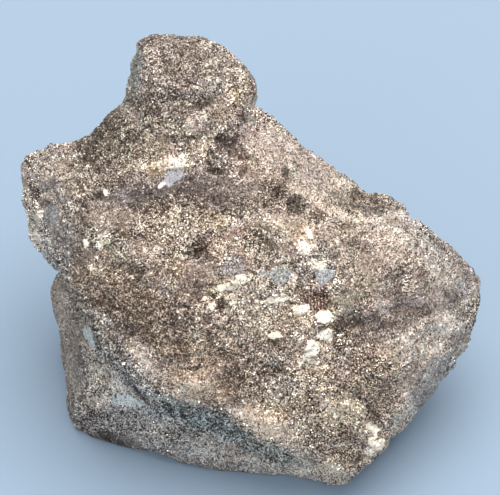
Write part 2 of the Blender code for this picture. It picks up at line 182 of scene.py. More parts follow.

# Spots that are brighter or darker, by how many steps brighter they are. They are partly the metal's own
# tone
# and partly painted light and shade: painted sparkle, and painted shade in hollows and along edges
TONE_AND_LIGHT_SPOTS = {
    # Painted highlight: a cluster of sparkle on the left block's front
    1.9: ((-17.5, -17.8, 1, 0.9),),
    1.4: ((-1.4, -3.9, 1.2, 0.6, 20),),
    1.3: ((6.7, -7.8, 1, 0.7),),
    1.2: ((-19.3, 1.3, 0.8, 0.9),),
    1.1: ((-21.4, 0.8, 0.5, 0.5), (15.6, -26.4, 0.7, 0.6), (10, -20.3, 0.8, 0.6),),
    1: ((-3.2, -4.9, 1.6, 0.6, 20),),
    0.9: ((-10.2, 11.5, 2.6, 0.9, 8), (8.8, -2, 1.2, 0.9), (10.9, -21.2, 0.5, 0.4), (-27.8, 4.4, 0.5, 0.5),),
    0.85: ((9.8, -29.6, 3.2, 1.4),),
    0.75: ((-18.6, -20.2, 2.6, 0.7, -8),),
    0.7: ((-12.8, -0.3, 1.2, 1.2), (-6.8, -22, 1.8, 0.7, -8), (-2.8, -22.2, 0.9, 0.8), (-28, 0.8, 1, 1.6),),
    0.65: ((20.3, -21.9, 1.3, 2.6, -30),),
    0.6: ((-14.5, 11.2, 1.2, 0.6, -30), (-20.2, -2.6, 1.6, 0.7, -35), (-2.5, 3.8, 1.8, 0.6, -15),
        (3, 3.8, 2, 0.8, -20), (7.2, 0.3, 1.4, 1.2, -20), (-5.6, -7.3, 1.2, 1, 40),
        (3.2, -6.4, 1.4, 0.7, 10), (13.2, 4.2, 2.4, 0.6, -8), (11, -20.8, 2, 1, 10),
        (0.5, -23.8, 1.6, 0.7, -25), (5.4, -18.1, 1.9, 0.8), (0.8, 18, 1.2, 1, -30),),
    0.55: ((-28.4, 4.2, 1.2, 2.4), (-19.2, -15.9, 2.2, 1),),
    0.5: ((-6, 14, 2, 0.7, 40), (7.8, 3, 0.8, 1), (1.5, -9.5, 1.2, 1, 20), (2.6, -11.3, 1.2, 0.4, -10),
        (17.4, -7.4, 0.7, 1.5, 15), (20.7, -11.6, 1, 0.9), (25.4, -8.8, 1.4, 1.2), (1.2, -22.4, 3, 1.5, -25),
        (13.4, -19.7, 1.2, 0.8, -30), (14.2, -20.6, 1.4, 0.6, -40), (-17, -19.9, 3, 0.5, -3),
        (20.6, -18.8, 0.8, 1), (-3.4, -11.8, 1.2, 0.9), (-5.5, -5.7, 0.7, 0.9), (9.6, -18.3, 1.3, 0.9),
        (20.2, 4.4, 1.1, 0.8), (13.4, 6.6, 1.1, 0.7), (28.6, -5.4, 1.5, 1.5), (25, -10.5, 2.2, 0.8),
        (14.3, -23.6, 1, 0.9),),
    0.45: ((24, -12.6, 1.8, 1, 15), (-19.5, -8.8, 1.4, 0.6, -35), (2.2, -8.4, 2.2, 0.8),
        (-6.4, -14.3, 1.3, 0.9), (-5.2, 7.7, 1.3, 0.7), (8.6, -14.9, 1.8, 0.8), (19.8, -3.5, 1.4, 0.7),
        (-12, -22.2, 1.4, 0.8),),
    0.4: ((-8, -18, 2.4, 0.9, 15), (-7.6, -22.7, 1.6, 0.6, -15), (0.4, -7, 1.3, 1), (11.6, -22, 2.6, 0.9),
        (-6, 14.8, 2.4, 0.5, 20), (-8.4, 15.4, 1.2, 0.8), (-0.2, 0.2, 0.8, 0.8), (-2.8, 15.2, 0.8, 0.6),
        (-24, 4.6, 0.8, 1.6), (-29.6, 10.5, 0.6, 1), (-18.2, -8.8, 1.3, 0.9), (18, 7, 0.8, 0.7),
        (21.5, -6.6, 1.1, 0.8), (18, -7.6, 0.9, 0.8), (-13.2, -24.6, 2.2, 1.1, -10),),
    0.35: ((-6.6, 17, 2.2, 1.2, 35), (18, -13.2, 1.6, 1), (3.5, -19, 1, 1.2), (10.5, -28.4, 1.5, 0.7, -5),
        (15.6, -28.2, 0.9, 0.9), (-5.8, 27.2, 1.2, 0.9), (-12, -5.4, 1.2, 0.7), (-7.4, -11.2, 0.9, 0.8),
        (10.2, -19.8, 0.8, 0.7), (3, -29.2, 2.4, 0.6, -4), (3.2, -19.9, 1.2, 0.6), (-12.2, 9.3, 0.9, 0.6),
        (-14, 3.8, 0.8, 0.9), (23.8, 2.4, 1.2, 0.6, -40), (24.6, -15.6, 1.2, 3, -30), (9.8, 4, 1, 0.8),
        (21.8, -12, 1, 0.7), (28.2, -11.8, 1, 2.2), (7.4, -4, 0.8, 0.8), (10.6, -23.2, 0.9, 0.9),
        (12.2, -26, 0.9, 0.7), (13.3, -8.3, 0.9, 0.6),),
    0.3: ((-10, 4, 3.6, 2.6), (18, 2, 3, 1.2, -20), (-15.2, -12.8, 3, 1.1, -42), (-13, -15.8, 1.6, 0.9, -40),
        (-5.5, -26, 2.6, 1, -10), (-16.5, 0.1, 1.4, 0.7), (6.6, -11.8, 1, 0.7), (-28.8, 7, 1.4, 4),
        (-24.8, -7, 1, 3.2), (-6.4, -8.8, 1.2, 0.7), (-1.6, -11.2, 0.8, 0.9), (-4, 0, 0.8, 0.8),
        (6.2, -21.4, 1.2, 0.7), (-5.9, 16, 0.8, 0.6), (8, 9.6, 1, 0.9), (-21.2, 10, 1.4, 0.6, 25),
        (-17.8, -4.5, 1, 0.8), (14.2, -13.6, 0.8, 0.7), (11.6, -16.6, 1.1, 0.8), (8, -22, 0.9, 0.8),
        (5.8, 4.5, 0.9, 1), (-19.4, 3.1, 0.9, 0.8), (24.6, -6, 1.1, 0.7), (15.2, -4.8, 0.9, 0.7),
        (-8.2, -17.8, 1.2, 0.7), (-7.4, -2, 1, 0.9), (4.2, -1.2, 1, 0.7),),
    0.25: ((4.2, -14, 1, 0.6), (-14.2, 22.5, 0.9, 2.2), (3.2, -24, 1.2, 0.7, -25), (-15.6, 12.8, 0.9, 0.7),
        (4.8, 7.4, 0.8, 0.8), (-18, 10.6, 1.2, 0.8), (-10, 2.6, 1, 0.6), (11.9, 1.6, 1, 1.3),
        (18, 0, 1.2, 0.8), (-2.5, -27.8, 5, 1, -8), (24, -0.6, 1.4, 0.8), (4.4, 14.4, 1, 1.8, 40),),
    0.2: ((-11.8, -10.8, 1.6, 1.6),),
    -0.1: ((11.6, -1.3, 0.6, 2.8, 25),),
    -0.2: ((-14, 19.4, 2.5, 1), (12.6, -27.4, 1, 0.8), (2.4, -16.8, 2.2, 0.9, 25), (-12, 19.9, 1.1, 0.6),
        (-1.2, 3.2, 0.9, 1.4), (-27.2, 11.4, 1.8, 1.2), (16.9, -13.4, 0.7, 1.6, 25), (-9.5, 19.3, 1.6, 0.5),
        (16.4, 5.5, 2.4, 0.5, -6), (12.6, 5.8, 1.2, 0.5, -35), (8.6, -25, 2, 0.8, -10),),
    -0.25: ((-9.8, -10, 0.8, 2.2, 20), (-5.4, -11.4, 0.9, 1), (19.8, -20.4, 0.9, 0.8),
        (19.2, -6.6, 0.7, 1.6), (-22.4, -2.8, 1, 1.2), (-1.5, -1.2, 1.1, 0.8), (0.8, 6.9, 0.8, 0.6),
        (10, 6.2, 1, 0.5), (-21, 7, 0.8, 0.7), (-12.8, 11.8, 1.2, 0.8), (-16.4, 3.4, 1.8, 1.6),
        (-4.2, 17.6, 1.4, 0.9), (-3.5, 4.6, 1.4, 1), (-9.6, 25.2, 0.9, 0.7), (-10.3, 22.2, 1, 0.7),
        (-5.5, 23.8, 0.7, 1.2), (-1.6, -19.6, 1.6, 0.9, -40), (8.6, 5.5, 1, 0.6), (17, 2.6, 1.4, 0.8),
        (19.5, -10.6, 1, 1), (-20, -22, 1.4, 0.8),),
    -0.3: ((-8, 14.4, 0.7, 0.5), (-16, 2, 1, 0.6), (1.6, 2.9, 1.6, 0.9, -20), (12.8, -5, 1.2, 0.8),
        (3, -15.8, 1.2, 0.7), (-9, -10, 3, 2), (-5.4, -12.1, 0.9, 0.7), (-22.8, 0.9, 0.8, 1),
        (-3.2, -18.2, 1.3, 0.8, -20), (9.4, -16.8, 0.8, 0.8), (-22.2, -15.4, 1, 2.6),
        (-10.6, -15.4, 2.4, 0.7, -20), (-1.8, 14.7, 0.9, 0.7), (-1.4, 11, 0.7, 0.9), (-14.7, 8.7, 1, 0.6),
        (-8.2, 3.6, 1, 0.7), (-14, -9.8, 1.3, 0.8, -30), (-8.6, -12.6, 1.3, 0.6, -30),
        (12.2, -18.6, 0.8, 0.8), (-0.3, -13.8, 0.9, 0.8), (4.6, 9.4, 1, 0.8), (-2.6, 25.8, 0.8, 0.8),
        (-16.3, -3.2, 1, 0.7), (-6.9, -6.3, 0.8, 0.8), (-18.4, 16.9, 2.4, 1.2, 40),),
    -0.35: ((11.4, -11, 0.7, 0.8), (19.5, -3, 1.6, 0.7, 20), (13, -24, 2.5, 1.5), (-12.4, 27.4, 1.6, 0.8),
        (5.4, -15.6, 1, 0.8), (-8.8, 26.4, 1.2, 0.8), (-25.2, -0.2, 1.2, 0.7), (-22.2, 4, 0.9, 1.4),
        (-6, -10.2, 0.9, 0.8), (5.4, -6.6, 1.2, 0.6), (10.4, -26.6, 1, 0.8),),
    -0.4: ((-18.6, 16, 1.5, 0.8, 30), (4.5, 10.3, 0.5, 0.9), (2.4, 8.5, 1.2, 0.8), (14.5, 0.8, 1.3, 0.6),
        (22.6, -3, 0.8, 1), (21, -7.9, 2.6, 0.9), (27, -6, 1.2, 0.8), (27.6, -11.5, 1, 0.8),
        (-3.5, -13.6, 1.2, 0.8, -20), (-2, -17, 1.4, 2), (-2, -19.6, 1.1, 0.6), (6, -20, 1.2, 0.7),
        (8.5, -20.4, 0.8, 0.6), (14.3, -27, 0.8, 1.2), (-17, -9.6, 2.4, 0.7, -30), (-20.6, -7, 1.2, 0.8),
        # (-17.6, -25.4) is painted shade along the lower left edge
        (-13.4, -3.2, 1, 0.8), (-17.6, -25.4, 2, 0.7, -20),),
    -0.45: ((-14.7, -6.4, 0.9, 1),),
    -0.5: ((-12.8, 18.5, 0.8, 1, -20), (-14, 7.4, 1.6, 1), (-12, 6, 1.6, 1), (-8, 7.9, 3, 1, 5),
        (-4, 6.8, 1.2, 0.8), (-15.2, 6, 0.8, 0.6), (-14.3, 2.1, 0.6, 0.5), (-14.8, -2.6, 1.6, 0.8),
        # (14, 6.3) is painted shade in the hollow behind the ridge at the upper right
        (6.8, -5.3, 1, 0.7), (11.3, -12.8, 0.7, 1), (14, 6.3, 3.4, 1.2, -20), (17.2, 6.4, 1.6, 0.7, -30),
        (16, -22, 1, 0.8), (-21.2, 11.5, 1, 0.8),),
    -0.6: ((-1, 17.2, 0.6, 0.8), (-6.2, 19.3, 1.6, 0.6, 15), (-26.5, 6, 0.6, 0.5), (8.7, 4.8, 0.9, 0.5),
        (3.2, -11.4, 1.1, 0.8),),
    -0.7: ((2.3, 0.9, 1.4, 0.9, -45), (5.8, -1.8, 0.6, 0.5), (-10.2, 0.4, 0.9, 1.1),),
    -0.75: ((13, -9.6, 2, 0.8, 10),),
    -0.8: ((-1.1, 10.4, 0.5, 0.7, 20), (8.9, -6.7, 1.8, 1.3),),
    -0.9: ((-21.2, 12.2, 1, 0.6), (-28, 7.5, 0.7, 0.7),),
    -1: ((-4.4, 12.9, 0.9, 0.3), (3.8, 7.6, 0.8, 1.2, -35), (6, 6, 1.2, 1), (-6.3, -0.3, 1.2, 1.6),),
    -1.25: ((-3.4, 14.1, 1.4, 1),),
    -1.4: ((-19.9, 7.2, 0.6, 0.45),),
    -1.5: ((-4.8, 10.4, 1.1, 0.45, -8), (-3.8, -7, 0.7, 0.8),),
}
# Areas with a look of their own: a spot, steps brighter, how much the grains differ, and percent more red,
# green and blue unless the tint is plain. Some of their darker steps are painted shade, marked where they
# stand
AREAS = (
    (-10, 23.5, 5, 4.5, 0, -0.35, 1, 0, -2, -2), (-2.5, 22.5, 2, 4, 0, 0.1, 1, 0, -1, -2),
    (-27, 5.5, 2.4, 6, 0, 0.1, 0.8, -1, 0, 2), (-25, -0.2, 3, 3.4, 0, -0.05, 0.45, -10, 1, 10),
    (-25.8, 4.4, 1.1, 1.6, 0, 0, 0.3, -7, 1, 8), (-26.6, 7, 2, 2.4, 0, 0, 0.5, -6, -1, 8),
    (-27.8, 2.6, 0.8, 1.6, -30, 0.1, 1.9), (-15.2, 7.4, 2.6, 1.6, 10, -0.1, 0.45, -7, -2, 10),
    (-12.5, 10.5, 1.2, 0.9, 0, -0.3, 0.6, 5, 0, -20), (-20.4, -15.6, 1.6, 2.4, 10, -0.05, 1.2, -6, 1, 6),
    (-6.8, -3.6, 2, 1.6, 0, -0.15, 0.35, 0, -2, 2), (-17.5, 5, 4.5, 2.8, 0, -0.05, 0.55, 1, -1, 0),
    (-18.5, 14.5, 4, 3.5, 0, -0.9, 1.05, -5, 2, -2), (-19.2, 9.6, 3.4, 1.8, 0, -0.45, 0.95, -1, 0, 0),
    (-13.2, 6.2, 2.6, 1.4, 0, -0.5, 0.75, -2, -1, 3), (-7, 7.8, 6.5, 2.4, 0, -0.75, 0.65, -5, -2, 11),
    (3, 7.8, 2.2, 1.9, 40, -0.5, 0.8), (-22.6, -2.4, 1.4, 3.6, 0, -0.4, 0.6, -2, 0, 1),
    (-7.8, -6, 1.9, 1.6, 0, -0.5, 0.75), (-15, -9.6, 4.5, 1.9, -25, -0.75, 0.95, 2, 0, -5),
    (9, -26, 3.5, 1.4, -10, -0.22, 0.9), (-12, -21.4, 2.4, 2.4, 0, 0.55, 0.9),
    (6.5, 11, 6.5, 4, -40, 0.35, 0.6, 0, 0, 3), (14.5, 7, 5, 1.6, -20, -0.25, 0.85, -3, 2, -3),
    (12, -6.4, 2.2, 1.7, 0, 0.1, 0.35, -5, 3, -3), (20, 0.5, 6, 2.2, -20, 0.45, 0.75, 2, -1, -2),
    (20, -7, 4.5, 2.3, 0, -0.15, 0.55, 0, -4, 3), (23, -12, 4.5, 2.6, 15, 0.6, 0.75, 1, -1, -1),
    (25.2, -2.8, 2.2, 1.8, -50, 0.6, 0.75, 1, 0, -2), (21, -4.8, 1.5, 1, 0, 0.4, 0.75, 1, 0, -2),
    (12.6, -20.6, 2.6, 1.2, -30, 0.5, 0.9, 4, 0, -10), (9, -13.8, 1.8, 1.8, 0, 0.5, 1, 3, 0, -5),
    (-24.4, -13, 2, 10, 5, -0.1, 0.45, -3, 1, 2), (-18.8, -17.2, 2.8, 2.4, -20, 0.22, 1.35, -3, 1, 2),
    # (-18, -24.5) is painted shade along the lower left edge
    (-18.4, -11.6, 2, 3.6, 32, -0.35, 0.8, -8, 1, 9), (-18, -24.5, 3.2, 1.5, -20, -0.4, 1.1, -2, 0, 3),
    (-6, -27.6, 5, 1, -15, -0.2, 0.7, -1, 0, 3), (1.2, -16.2, 2.2, 1.6, 0, -0.4, 1.05, 2, 0, -5),
    (-12.5, -9.8, 1.6, 1.3, 0, 0.3, 1.05, 2, 0, -6), (-15.5, -6.5, 1.6, 2.4, 0, 0.2, 1.05, 2, 0, -6),
    (-27.3, 0.6, 1, 1.8, 0, 0.4, 0.8, -1, 0, 1), (-1.2, 12.6, 1.6, 1.2, 0, 0.7, 0.8, 0, -2, 3),
    (-3.2, 14.1, 1.7, 1.1, 0, 0, 0.8, -2, -5, 6), (-5.6, 17.4, 2, 1.6, 0, -0.25, 0.9, 0, -1, 0),
    (-6.6, 17.3, 2.2, 1.1, 30, 0, 0.6, 4, -3, -2), (-1.2, 21, 0.9, 2.2, -25, 0.2, 1, 3, 0, -14),
    (-22.5, 12.4, 2.4, 1.2, 0, -0.35, 0.9, 0, -1, 0), (-16, 8.2, 3, 1, 0, -0.35, 0.8, 0, -1, 0),
    (13, 7.9, 2.6, 1, -25, 0.6, 0.8), (12, 5.9, 2, 0.9, -12, -0.15, 0.95, -1, 1, -1),
    (-12.6, 4.9, 1.8, 1.4, 0, -0.3, 0.8), (4.4, 9.2, 1.3, 1, 0, -0.35, 0.8),
    (-4.2, 0.3, 1.6, 1.2, 0, 0.4, 1.05, 2, -1, -3), (-6, 18.6, 1.8, 1.2, 0, -0.35, 0.95),
    (-11.6, -8.8, 1.2, 1.6, 0, 0.35, 1.05, 2, 0, -4), (-17.2, -7.2, 1.6, 1.4, -20, 0.35, 1.05, 2, 0, -4),
    # (-10.6, -13.2) is painted shade, darker where the slope above the lip faces the light
    (-20.6, -6.8, 1.3, 1.3, 0, -0.35, 0.8), (-10.6, -13.2, 2.6, 1.6, -35, -0.4, 0.95, 2, 0, -5),
    (-18.9, -14.6, 1.2, 1.4, 0, 0.35, 1.35, -2, 1, 2), (2.2, -12.2, 1.8, 1.1, 0, -0.5, 1),
    (7, -10.6, 1.4, 1.4, 0, 0.45, 1.15, 2, -1, -3), (26.4, -9.6, 1.8, 1.2, 20, 0.45, 0.8, 1, -1, -2),
    (19.6, -9.8, 1.6, 1, 20, -0.3, 0.7, 0, -1, 0), (14.4, -22.8, 1.8, 1.6, 0, 0.4, 1.15, 2, 0, -4),
    (0.6, -25.2, 2.4, 1.4, -20, 0.45, 0.8), (17, 6.2, 2.4, 0.9, -20, 0.25, 0.95, -1, 1, -1),
    # Both are painted shade along the lower left edge
    (-18.3, -25.6, 3.4, 1.2, -20, -0.7, 1.1, -2, 0, 3), (-22.5, -21.5, 1.6, 3, 20, -0.55, 0.9, -2, 0, 3),
    (-5.4, 12.3, 1.4, 1.1, 0, -0.3, 0.95), (-13.2, 11.9, 1.4, 1, 0, -0.2, 0.95),
    (5.2, 10.2, 1.1, 0.9, 0, -0.35, 0.8, -5, 1, 1), (6.1, 6.1, 1.3, 1, 0, 0, 1, -12, 4, -1),
    (3.6, -4.8, 1.6, 1, 0, -0.35, 1), (-4.2, -4.6, 1.8, 0.8, 10, 0.3, 1, 2, 0, -10),
    (-11.9, 3, 1.6, 2, 0, -0.25, 0.9), (-22.8, 2.8, 1.2, 2, 0, -0.15, 0.6),
    (-21.4, -0.9, 1.4, 1.2, 0, -0.2, 0.6), (9.8, -22.8, 1.4, 1.6, 0, 0.3, 1.15, 2, 0, -4),
    (16.5, -19.2, 2.8, 1.2, 0, -0.25, 0.9), (3, -28.2, 4, 0.9, -12, 0.3, 0.8),
    (13.8, -11.8, 1.7, 1, 0, -0.3, 0.8), (23.8, -8.6, 2.4, 0.8, 0, -0.25, 0.7),
    (0.3, -20, 2.2, 1.2, 0, -0.25, 0.9), (-19.7, -16.9, 1.7, 2, 0, 0.3, 1.45, -2, 1, 2),
    (-15.6, 7.2, 2.4, 1.1, -10, 0.1, 0.45, -5, -3, 12), (23, -17, 2.2, 4.5, -30, 0, 0.4, -1, 0, 2),
    (-10.5, 19.4, 3.5, 1.4, 0, 0, 1.35), (-25.5, -1.8, 2.4, 2, -40, 0, 1, -4, 1, 4),
    (-8.2, -0.2, 2.6, 1.3, 0, 0, 1.4, 0, 0, -2), (0.2, 1.2, 1.9, 1.5, 0, 0, 1.5, -1, 1, 2),
    (3.4, 7.4, 1.8, 1.6, 0, 0, 1.35), (12, -11.4, 1.8, 1.5, 0, 0, 1.35, 2, 0, -3),
    (-17.6, -16.6, 1.4, 1.8, 0, 0, 1.45, -2, 1, 2), (-12.4, -20.4, 1.8, 1.4, 0, 0, 1.3, -5, 1, 5),
    (-5, -22.4, 2.2, 1.4, -10, 0, 1.4, -10, 2, 8), (-28.4, 4.5, 1.2, 5, 0, 0, 1.5),
    (-6.8, -0.6, 1.3, 1.2, 0, 0, 1.6), (-15, 2, 1.2, 1, 0, 0, 1.5), (17.2, -15.2, 1.6, 1.4, 0, 0, 1.5),
    (15.6, -1.5, 1.8, 1.4, 0, 0, 0.45), (25.6, -5.5, 2.4, 3.4, 0, 0, 0.45),
    (28.2, -12.6, 1.4, 2.2, 0, 0, 0.4), (10.4, 2.2, 1.2, 1.4, 0, 0, 0.6),
    (-25.2, -6.6, 1.2, 2.4, 0, 0, 0.3, -2, 1, 1), (-24.2, -21.8, 1.2, 1.8, 0, 0, 0.4, -2, 1, 2),
    (-15.8, -25, 2.4, 1.2, -15, 0, 0.6, -2, 0, 2), (-6.8, 4.6, 2.4, 1.2, 0, -0.4, 0.9, 0, 0, -4),
    (0.8, 5.4, 2.8, 1.8, 0, -0.3, 0.95), (8.6, -4.8, 2, 0.9, 0, 0.9, 1.05, 2, -2, 0),
    (-17.2, -11.2, 1.6, 1.4, -40, -0.2, 0.85), (-13.2, -17.4, 2, 1.8, -40, -0.3, 0.85),
    (-8, -19.6, 1.6, 1.2, -20, 0.45, 0.7, 2, -1, -3), (-14.8, -4.6, 1, 2.2, 0, -0.35, 1.05, 0, 0, -2),
    (-12.2, -9.4, 1.2, 1.2, 0, 0.3, 1.05, 0, 0, -2), (-24, 1.6, 1.6, 1.2, 0, -0.3, 0.6, -7, 1, 7),
    (-24.8, 7.2, 2, 1.4, 20, 0.35, 0.6, -2, 0, 3), (13, -3, 1.2, 2.2, 20, -0.25, 0.8),
    (11.8, -28.3, 2.4, 1.4, 0, 0, 1, -1, 1, -3), (16, -9.6, 4, 1.1, 10, -0.3, 0.7, 0, -1, 1),
    (18, -19, 1.6, 1.6, 0, -0.3, 0.8, 0, -1, 0), (2.4, -2.4, 2.4, 2.6, -30, -0.3, 1),
    (-17.5, -21.8, 5, 2, -8, 0.18, 1.35, -2, 0, 2), (-1, -27.2, 11, 2.2, -8, 0.35, 0.75, -2, 1, 3),
    (-5.8, -2.6, 1.8, 1.5, 0, -0.1, 0.45, 0, -2, 0), (-3.2, -4.9, 2.2, 1, 20, 0, 1, 3, 0, -18),
    (-5.4, 4, 2.6, 1, 0, 0.1, 0.8, 5, 0, -16), (-10, 4, 4.5, 3, 0, 0.1, 1.2, 2, 0, -5),
    (3, -7, 7, 3.5, 0, 0.45, 1.1, 3, 0, -6), (-16, -6.5, 6, 2.6, -20, -0.55, 0.95, 3, 0, -6),
    (-8, -11.5, 6, 3, -10, -0.1, 1.05, 3, 0, -6), (6, -20, 9, 6, -30, 0.35, 1.25, 3, 0, -5),
    (2.8, -5.3, 1.3, 1.5, 0, 0, 1.6), (-27.8, 2.2, 1, 2.2, 0, 0.3, 1.35),
    (-17.5, -17.6, 1.2, 1.1, 0, 0.3, 1.35, -3, 1, 6), (-10, -24, 1.4, 1, 0, 0, 1.5, -2, 1, 3),
    (-2.3, -19.5, 1.4, 0.9, 0, 0, 1.7), (-11, -0.3, 1.3, 1, 0, 0.1, 1.5, 1, 0, -1),
    (10.4, -5.2, 1.2, 0.9, 0, 0, 1.4), (11.4, -11.6, 1.4, 1.4, 0, 0, 1.6),
    (-13.5, 18.6, 1.2, 1.2, 0, 0, 1.6), (-5.8, -22.8, 1.4, 0.9, -10, 0, 1.7, -8, 2, 6),
    (-15.2, -13.4, 2.2, 1.4, -40, 0, 0.6, 4, -1, -2),
)
# Broad spots of a redder or bluer tint, by how much redder it is. The bluer ones low on the front stand
# partly for painted blue light from the floor in the shade
HUES = {
    0.2: ((-5.5, -16.5, 4.8, 3.4),),
    0.18: ((-20.5, -19.8, 2, 1.6),),
    0.16: ((1.5, -22, 3, 3.2, -30),),
    0.15: ((-2.5, 18.5, 1.6, 3), (10.5, -28.4, 2.4, 1.2), (7.4, 1.6, 1.4, 2.2),),
    0.14: ((-22, -2.8, 1.6, 1.6),),
    0.12: ((-14, -3.2, 6.5, 4.5, -20), (13, -20.5, 5, 3.6), (6.6, -19.6, 1.6, 1.4), (-2.8, 0.6, 3.2, 2.6),
        (17.5, -14.8, 2.4, 1.6, 20), (3.4, -11.2, 1.4, 1.2),),
    0.1: ((-8, 12.2, 3.5, 1.6), (-6.5, -7.4, 3, 1.6), (7, -10.5, 5.5, 3.5),),
    0.08: ((12.5, -14, 6, 3),),
    -0.08: ((-20, 6, 3, 1.6), (-17, -13, 4.5, 3.5, -40),),
    -0.09: ((-23.8, 11.2, 3.4, 2),),
    -0.1: ((26.6, -4, 3.2, 3), (22, -7.8, 3, 1.6),),
    -0.11: ((-9.5, 22.5, 6.5, 5.5),),
    -0.12: ((-24.5, 0.8, 4, 3.2), (-27, 12.6, 3, 1.4), (-5, -27.6, 6, 1.2, -10), (24, 2, 4, 3, -35),
        (28, -8, 2.6, 5), (19.5, 4.5, 5, 2.4, -30),),
    -0.14: ((-14.6, 7.6, 3.6, 1.6),),
    -0.15: ((-4.5, -23, 5, 2, -15),),
    -0.16: ((-15.5, -22.5, 9, 3.6, -12), (-14.2, -17.4, 2.4, 1.6, -45),),
    -0.24: ((24.5, -17.5, 2.6, 4.5, -35),),
}
# Bands along lines: the lip, the dark slope left of it, the recess below it, ridges and dark clefts. The lip
# and ridges are painted highlights; the slope, recess and clefts are painted shade, and the recess's blue
# tint is partly painted blue light from the floor. As (points, half width, steps brighter, how much the
# grains differ, percent more red, green and blue)
LIT_AND_SHADED_BANDS = (
    (((-20.2, -8.2), (-19, -9.8), (-17.2, -12), (-16, -13.6)), 0.35, 0.45, 0.6, 6, -3, 1),
    (((-16, -13.3), (-12.8, -15.5), (-9.5, -17.1), (-6, -18), (-2.5, -19.6), (1.5, -22.7), (5.5, -25.4)),
     1.5, 0.43, 0.6, 4, 0, -4),
    (((-22.3, -6.6), (-20.4, -9.6), (-18.4, -12.4), (-16.4, -15.6), (-14, -18.4), (-12, -20.2)),
     1.5, -0.15, 1.1, -7, 1, 6),
    (((-16.4, -16.5), (-14.6, -19), (-12.6, -20.8), (-11.8, -22)), 0.3, -0.8, 1, -12, 0, 15),
    (((-10.4, -20.9), (-7.6, -21.5), (-3.8, -23), (0, -25.3), (4.5, -27.3)), 1.2, -0.62, 1.4, -16, 3, 10),
    (((0.3, 14.5), (0.6, 12), (4, 9.2), (8, 6.8)), 0.5, 0.5, 0.75, 4, 0, -6),
    (((8.4, 6.6), (9.6, 5.8), (11.2, 4.9), (13.2, 4.3), (15.4, 4.1), (17.5, 4.3), (19.6, 4.9)),
     0.36, 0.65, 0.6, 4, 0, -6),
    (((21.6, 3.4), (23, 1.6), (24.2, -0.4), (25.2, -2.8)), 0.3, 0.45, 0.7, 3, 0, -3),
    (((-15.8, 19.8), (-12.6, 18.2), (-9, 18.5), (-6, 18.8)), 0.7, -0.5, 0.9, 0, -1, -2),
    (((-14.8, 25.5), (-15.2, 23), (-15.5, 20.5), (-16.2, 18.6)), 0.8, 0.1, 0.7, -10, 2, 3),
    (((-5.2, 16.6), (-6.6, 15.2), (-8.6, 14)), 0.28, -0.7, 0.9, 0, -1, -2),
    (((-14.5, 27.6), (-11, 28), (-7, 27), (-4.6, 26.2)), 0.9, -0.25, 0.95, -2, -1, 2),
)
# Short dark cracks: (points, half width, steps darker)
CRACKS = (
    (((-22.4, 6.3), (-21.8, 5.7), (-21.1, 5)), 0.16, 1.6),
    (((-20.6, 7.6), (-19.8, 7), (-19.2, 7.2)), 0.16, 1.4),
    (((-2.9, -8.6), (-2, -9.6), (-1.2, -10.3)), 0.13, 1), (((7.6, -4.1), (7.7, -5)), 0.2, 1.5),
    (((3.4, -4.6), (3.5, -5.9)), 0.14, 1.2), (((12.6, -11), (14.2, -12.3)), 0.14, 0.8),
    (((15.4, -20.4), (16.6, -21.6), (17.2, -22.4)), 0.2, 1.2), (((-25.2, 6.6), (-24.6, 6)), 0.13, 0.8),
    (((19.4, -2.2), (20.6, -3.6)), 0.14, 0.8), (((17.2, -8.8), (17.8, -10.4)), 0.15, 0.9),
)
# The dark patch of fine upright lines, and the distance between two lines
LINED_PATCH = (8.8, -6.3, 1.7, 1.6)
LINE_DISTANCE = 0.42

# Smooth white crystals, and ragged clumps of cream ones
WHITE_CRYSTALS = (
    (9.7, -8.8, 1.3, 0.8), (10, -11.2, 1.25, 0.75, 5), (8, -12.9, 0.9, 1.1), (6.8, -7.7, 1, 0.65, 30),
    (-18.9, 7.5, 0.35, 0.45, 10), (-27.8, 4.4, 0.5, 0.45), (-21.4, 0.8, 0.45, 0.5), (-27.4, 5, 0.3, 0.25),
    (-28, 2.6, 0.25, 0.4), (-27.6, 1.4, 0.2, 0.3), (16.9, -25.4, 0.6, 0.55), (16.2, -23.5, 0.4, 0.3),
    (15.8, -26.3, 0.25, 0.25), (-19.4, 1.1, 0.4, 0.38), (-19.9, 1.8, 0.2, 0.2),
)
CREAM_CLUMPS = (
    (7.4, -14.6, 1, 0.6), (16.1, -23.3, 0.9, 0.7), (16.7, -25.4, 1, 1.1), (-1, -3.8, 1, 0.6, 15),
    (7.1, 0.2, 0.9, 0.9), (8.8, -2.1, 1.3, 0.7, -35), (3.7, -6.5, 1.6, 0.6, 10), (-2.9, -4.8, 1.5, 0.6, 15),
    (3.3, -11.2, 0.8, 0.4), (-9.3, 11.6, 1.5, 0.8, 25), (7.9, 2.3, 0.3, 0.8, 10), (-5, -7.4, 0.45, 0.5),
    (-11.4, 8.6, 0.6, 0.35, 20), (-2.4, -7, 0.5, 0.4, 40),
)
# Streaked spots, with the direction of the streaks in degrees and their strength
STREAKS = (
    (22, 0.5, 2, 6, 42, -48, 0.6), (-17, -13.5, 3, 7, 38, -50, 0.7), (-13, -20, 3, 3, 0, -50, 0.9),
    (-6.5, -22.4, 4.5, 2.6, -15, -22, 1.3), (-3.2, -5.6, 3, 2.2, 0, 22, 0.6), (-24.5, 3, 2.5, 6, 0, 75, 0.4),
    (6.5, 11, 6.5, 4, -40, -42, 0.3), (2.5, 13, 2, 4, 0, 70, 0.4), (13, -9.3, 4, 1.6, 8, 10, 0.4),
)
STREAK_SIZE = (3.2, 0.42)  # length and width of a streak

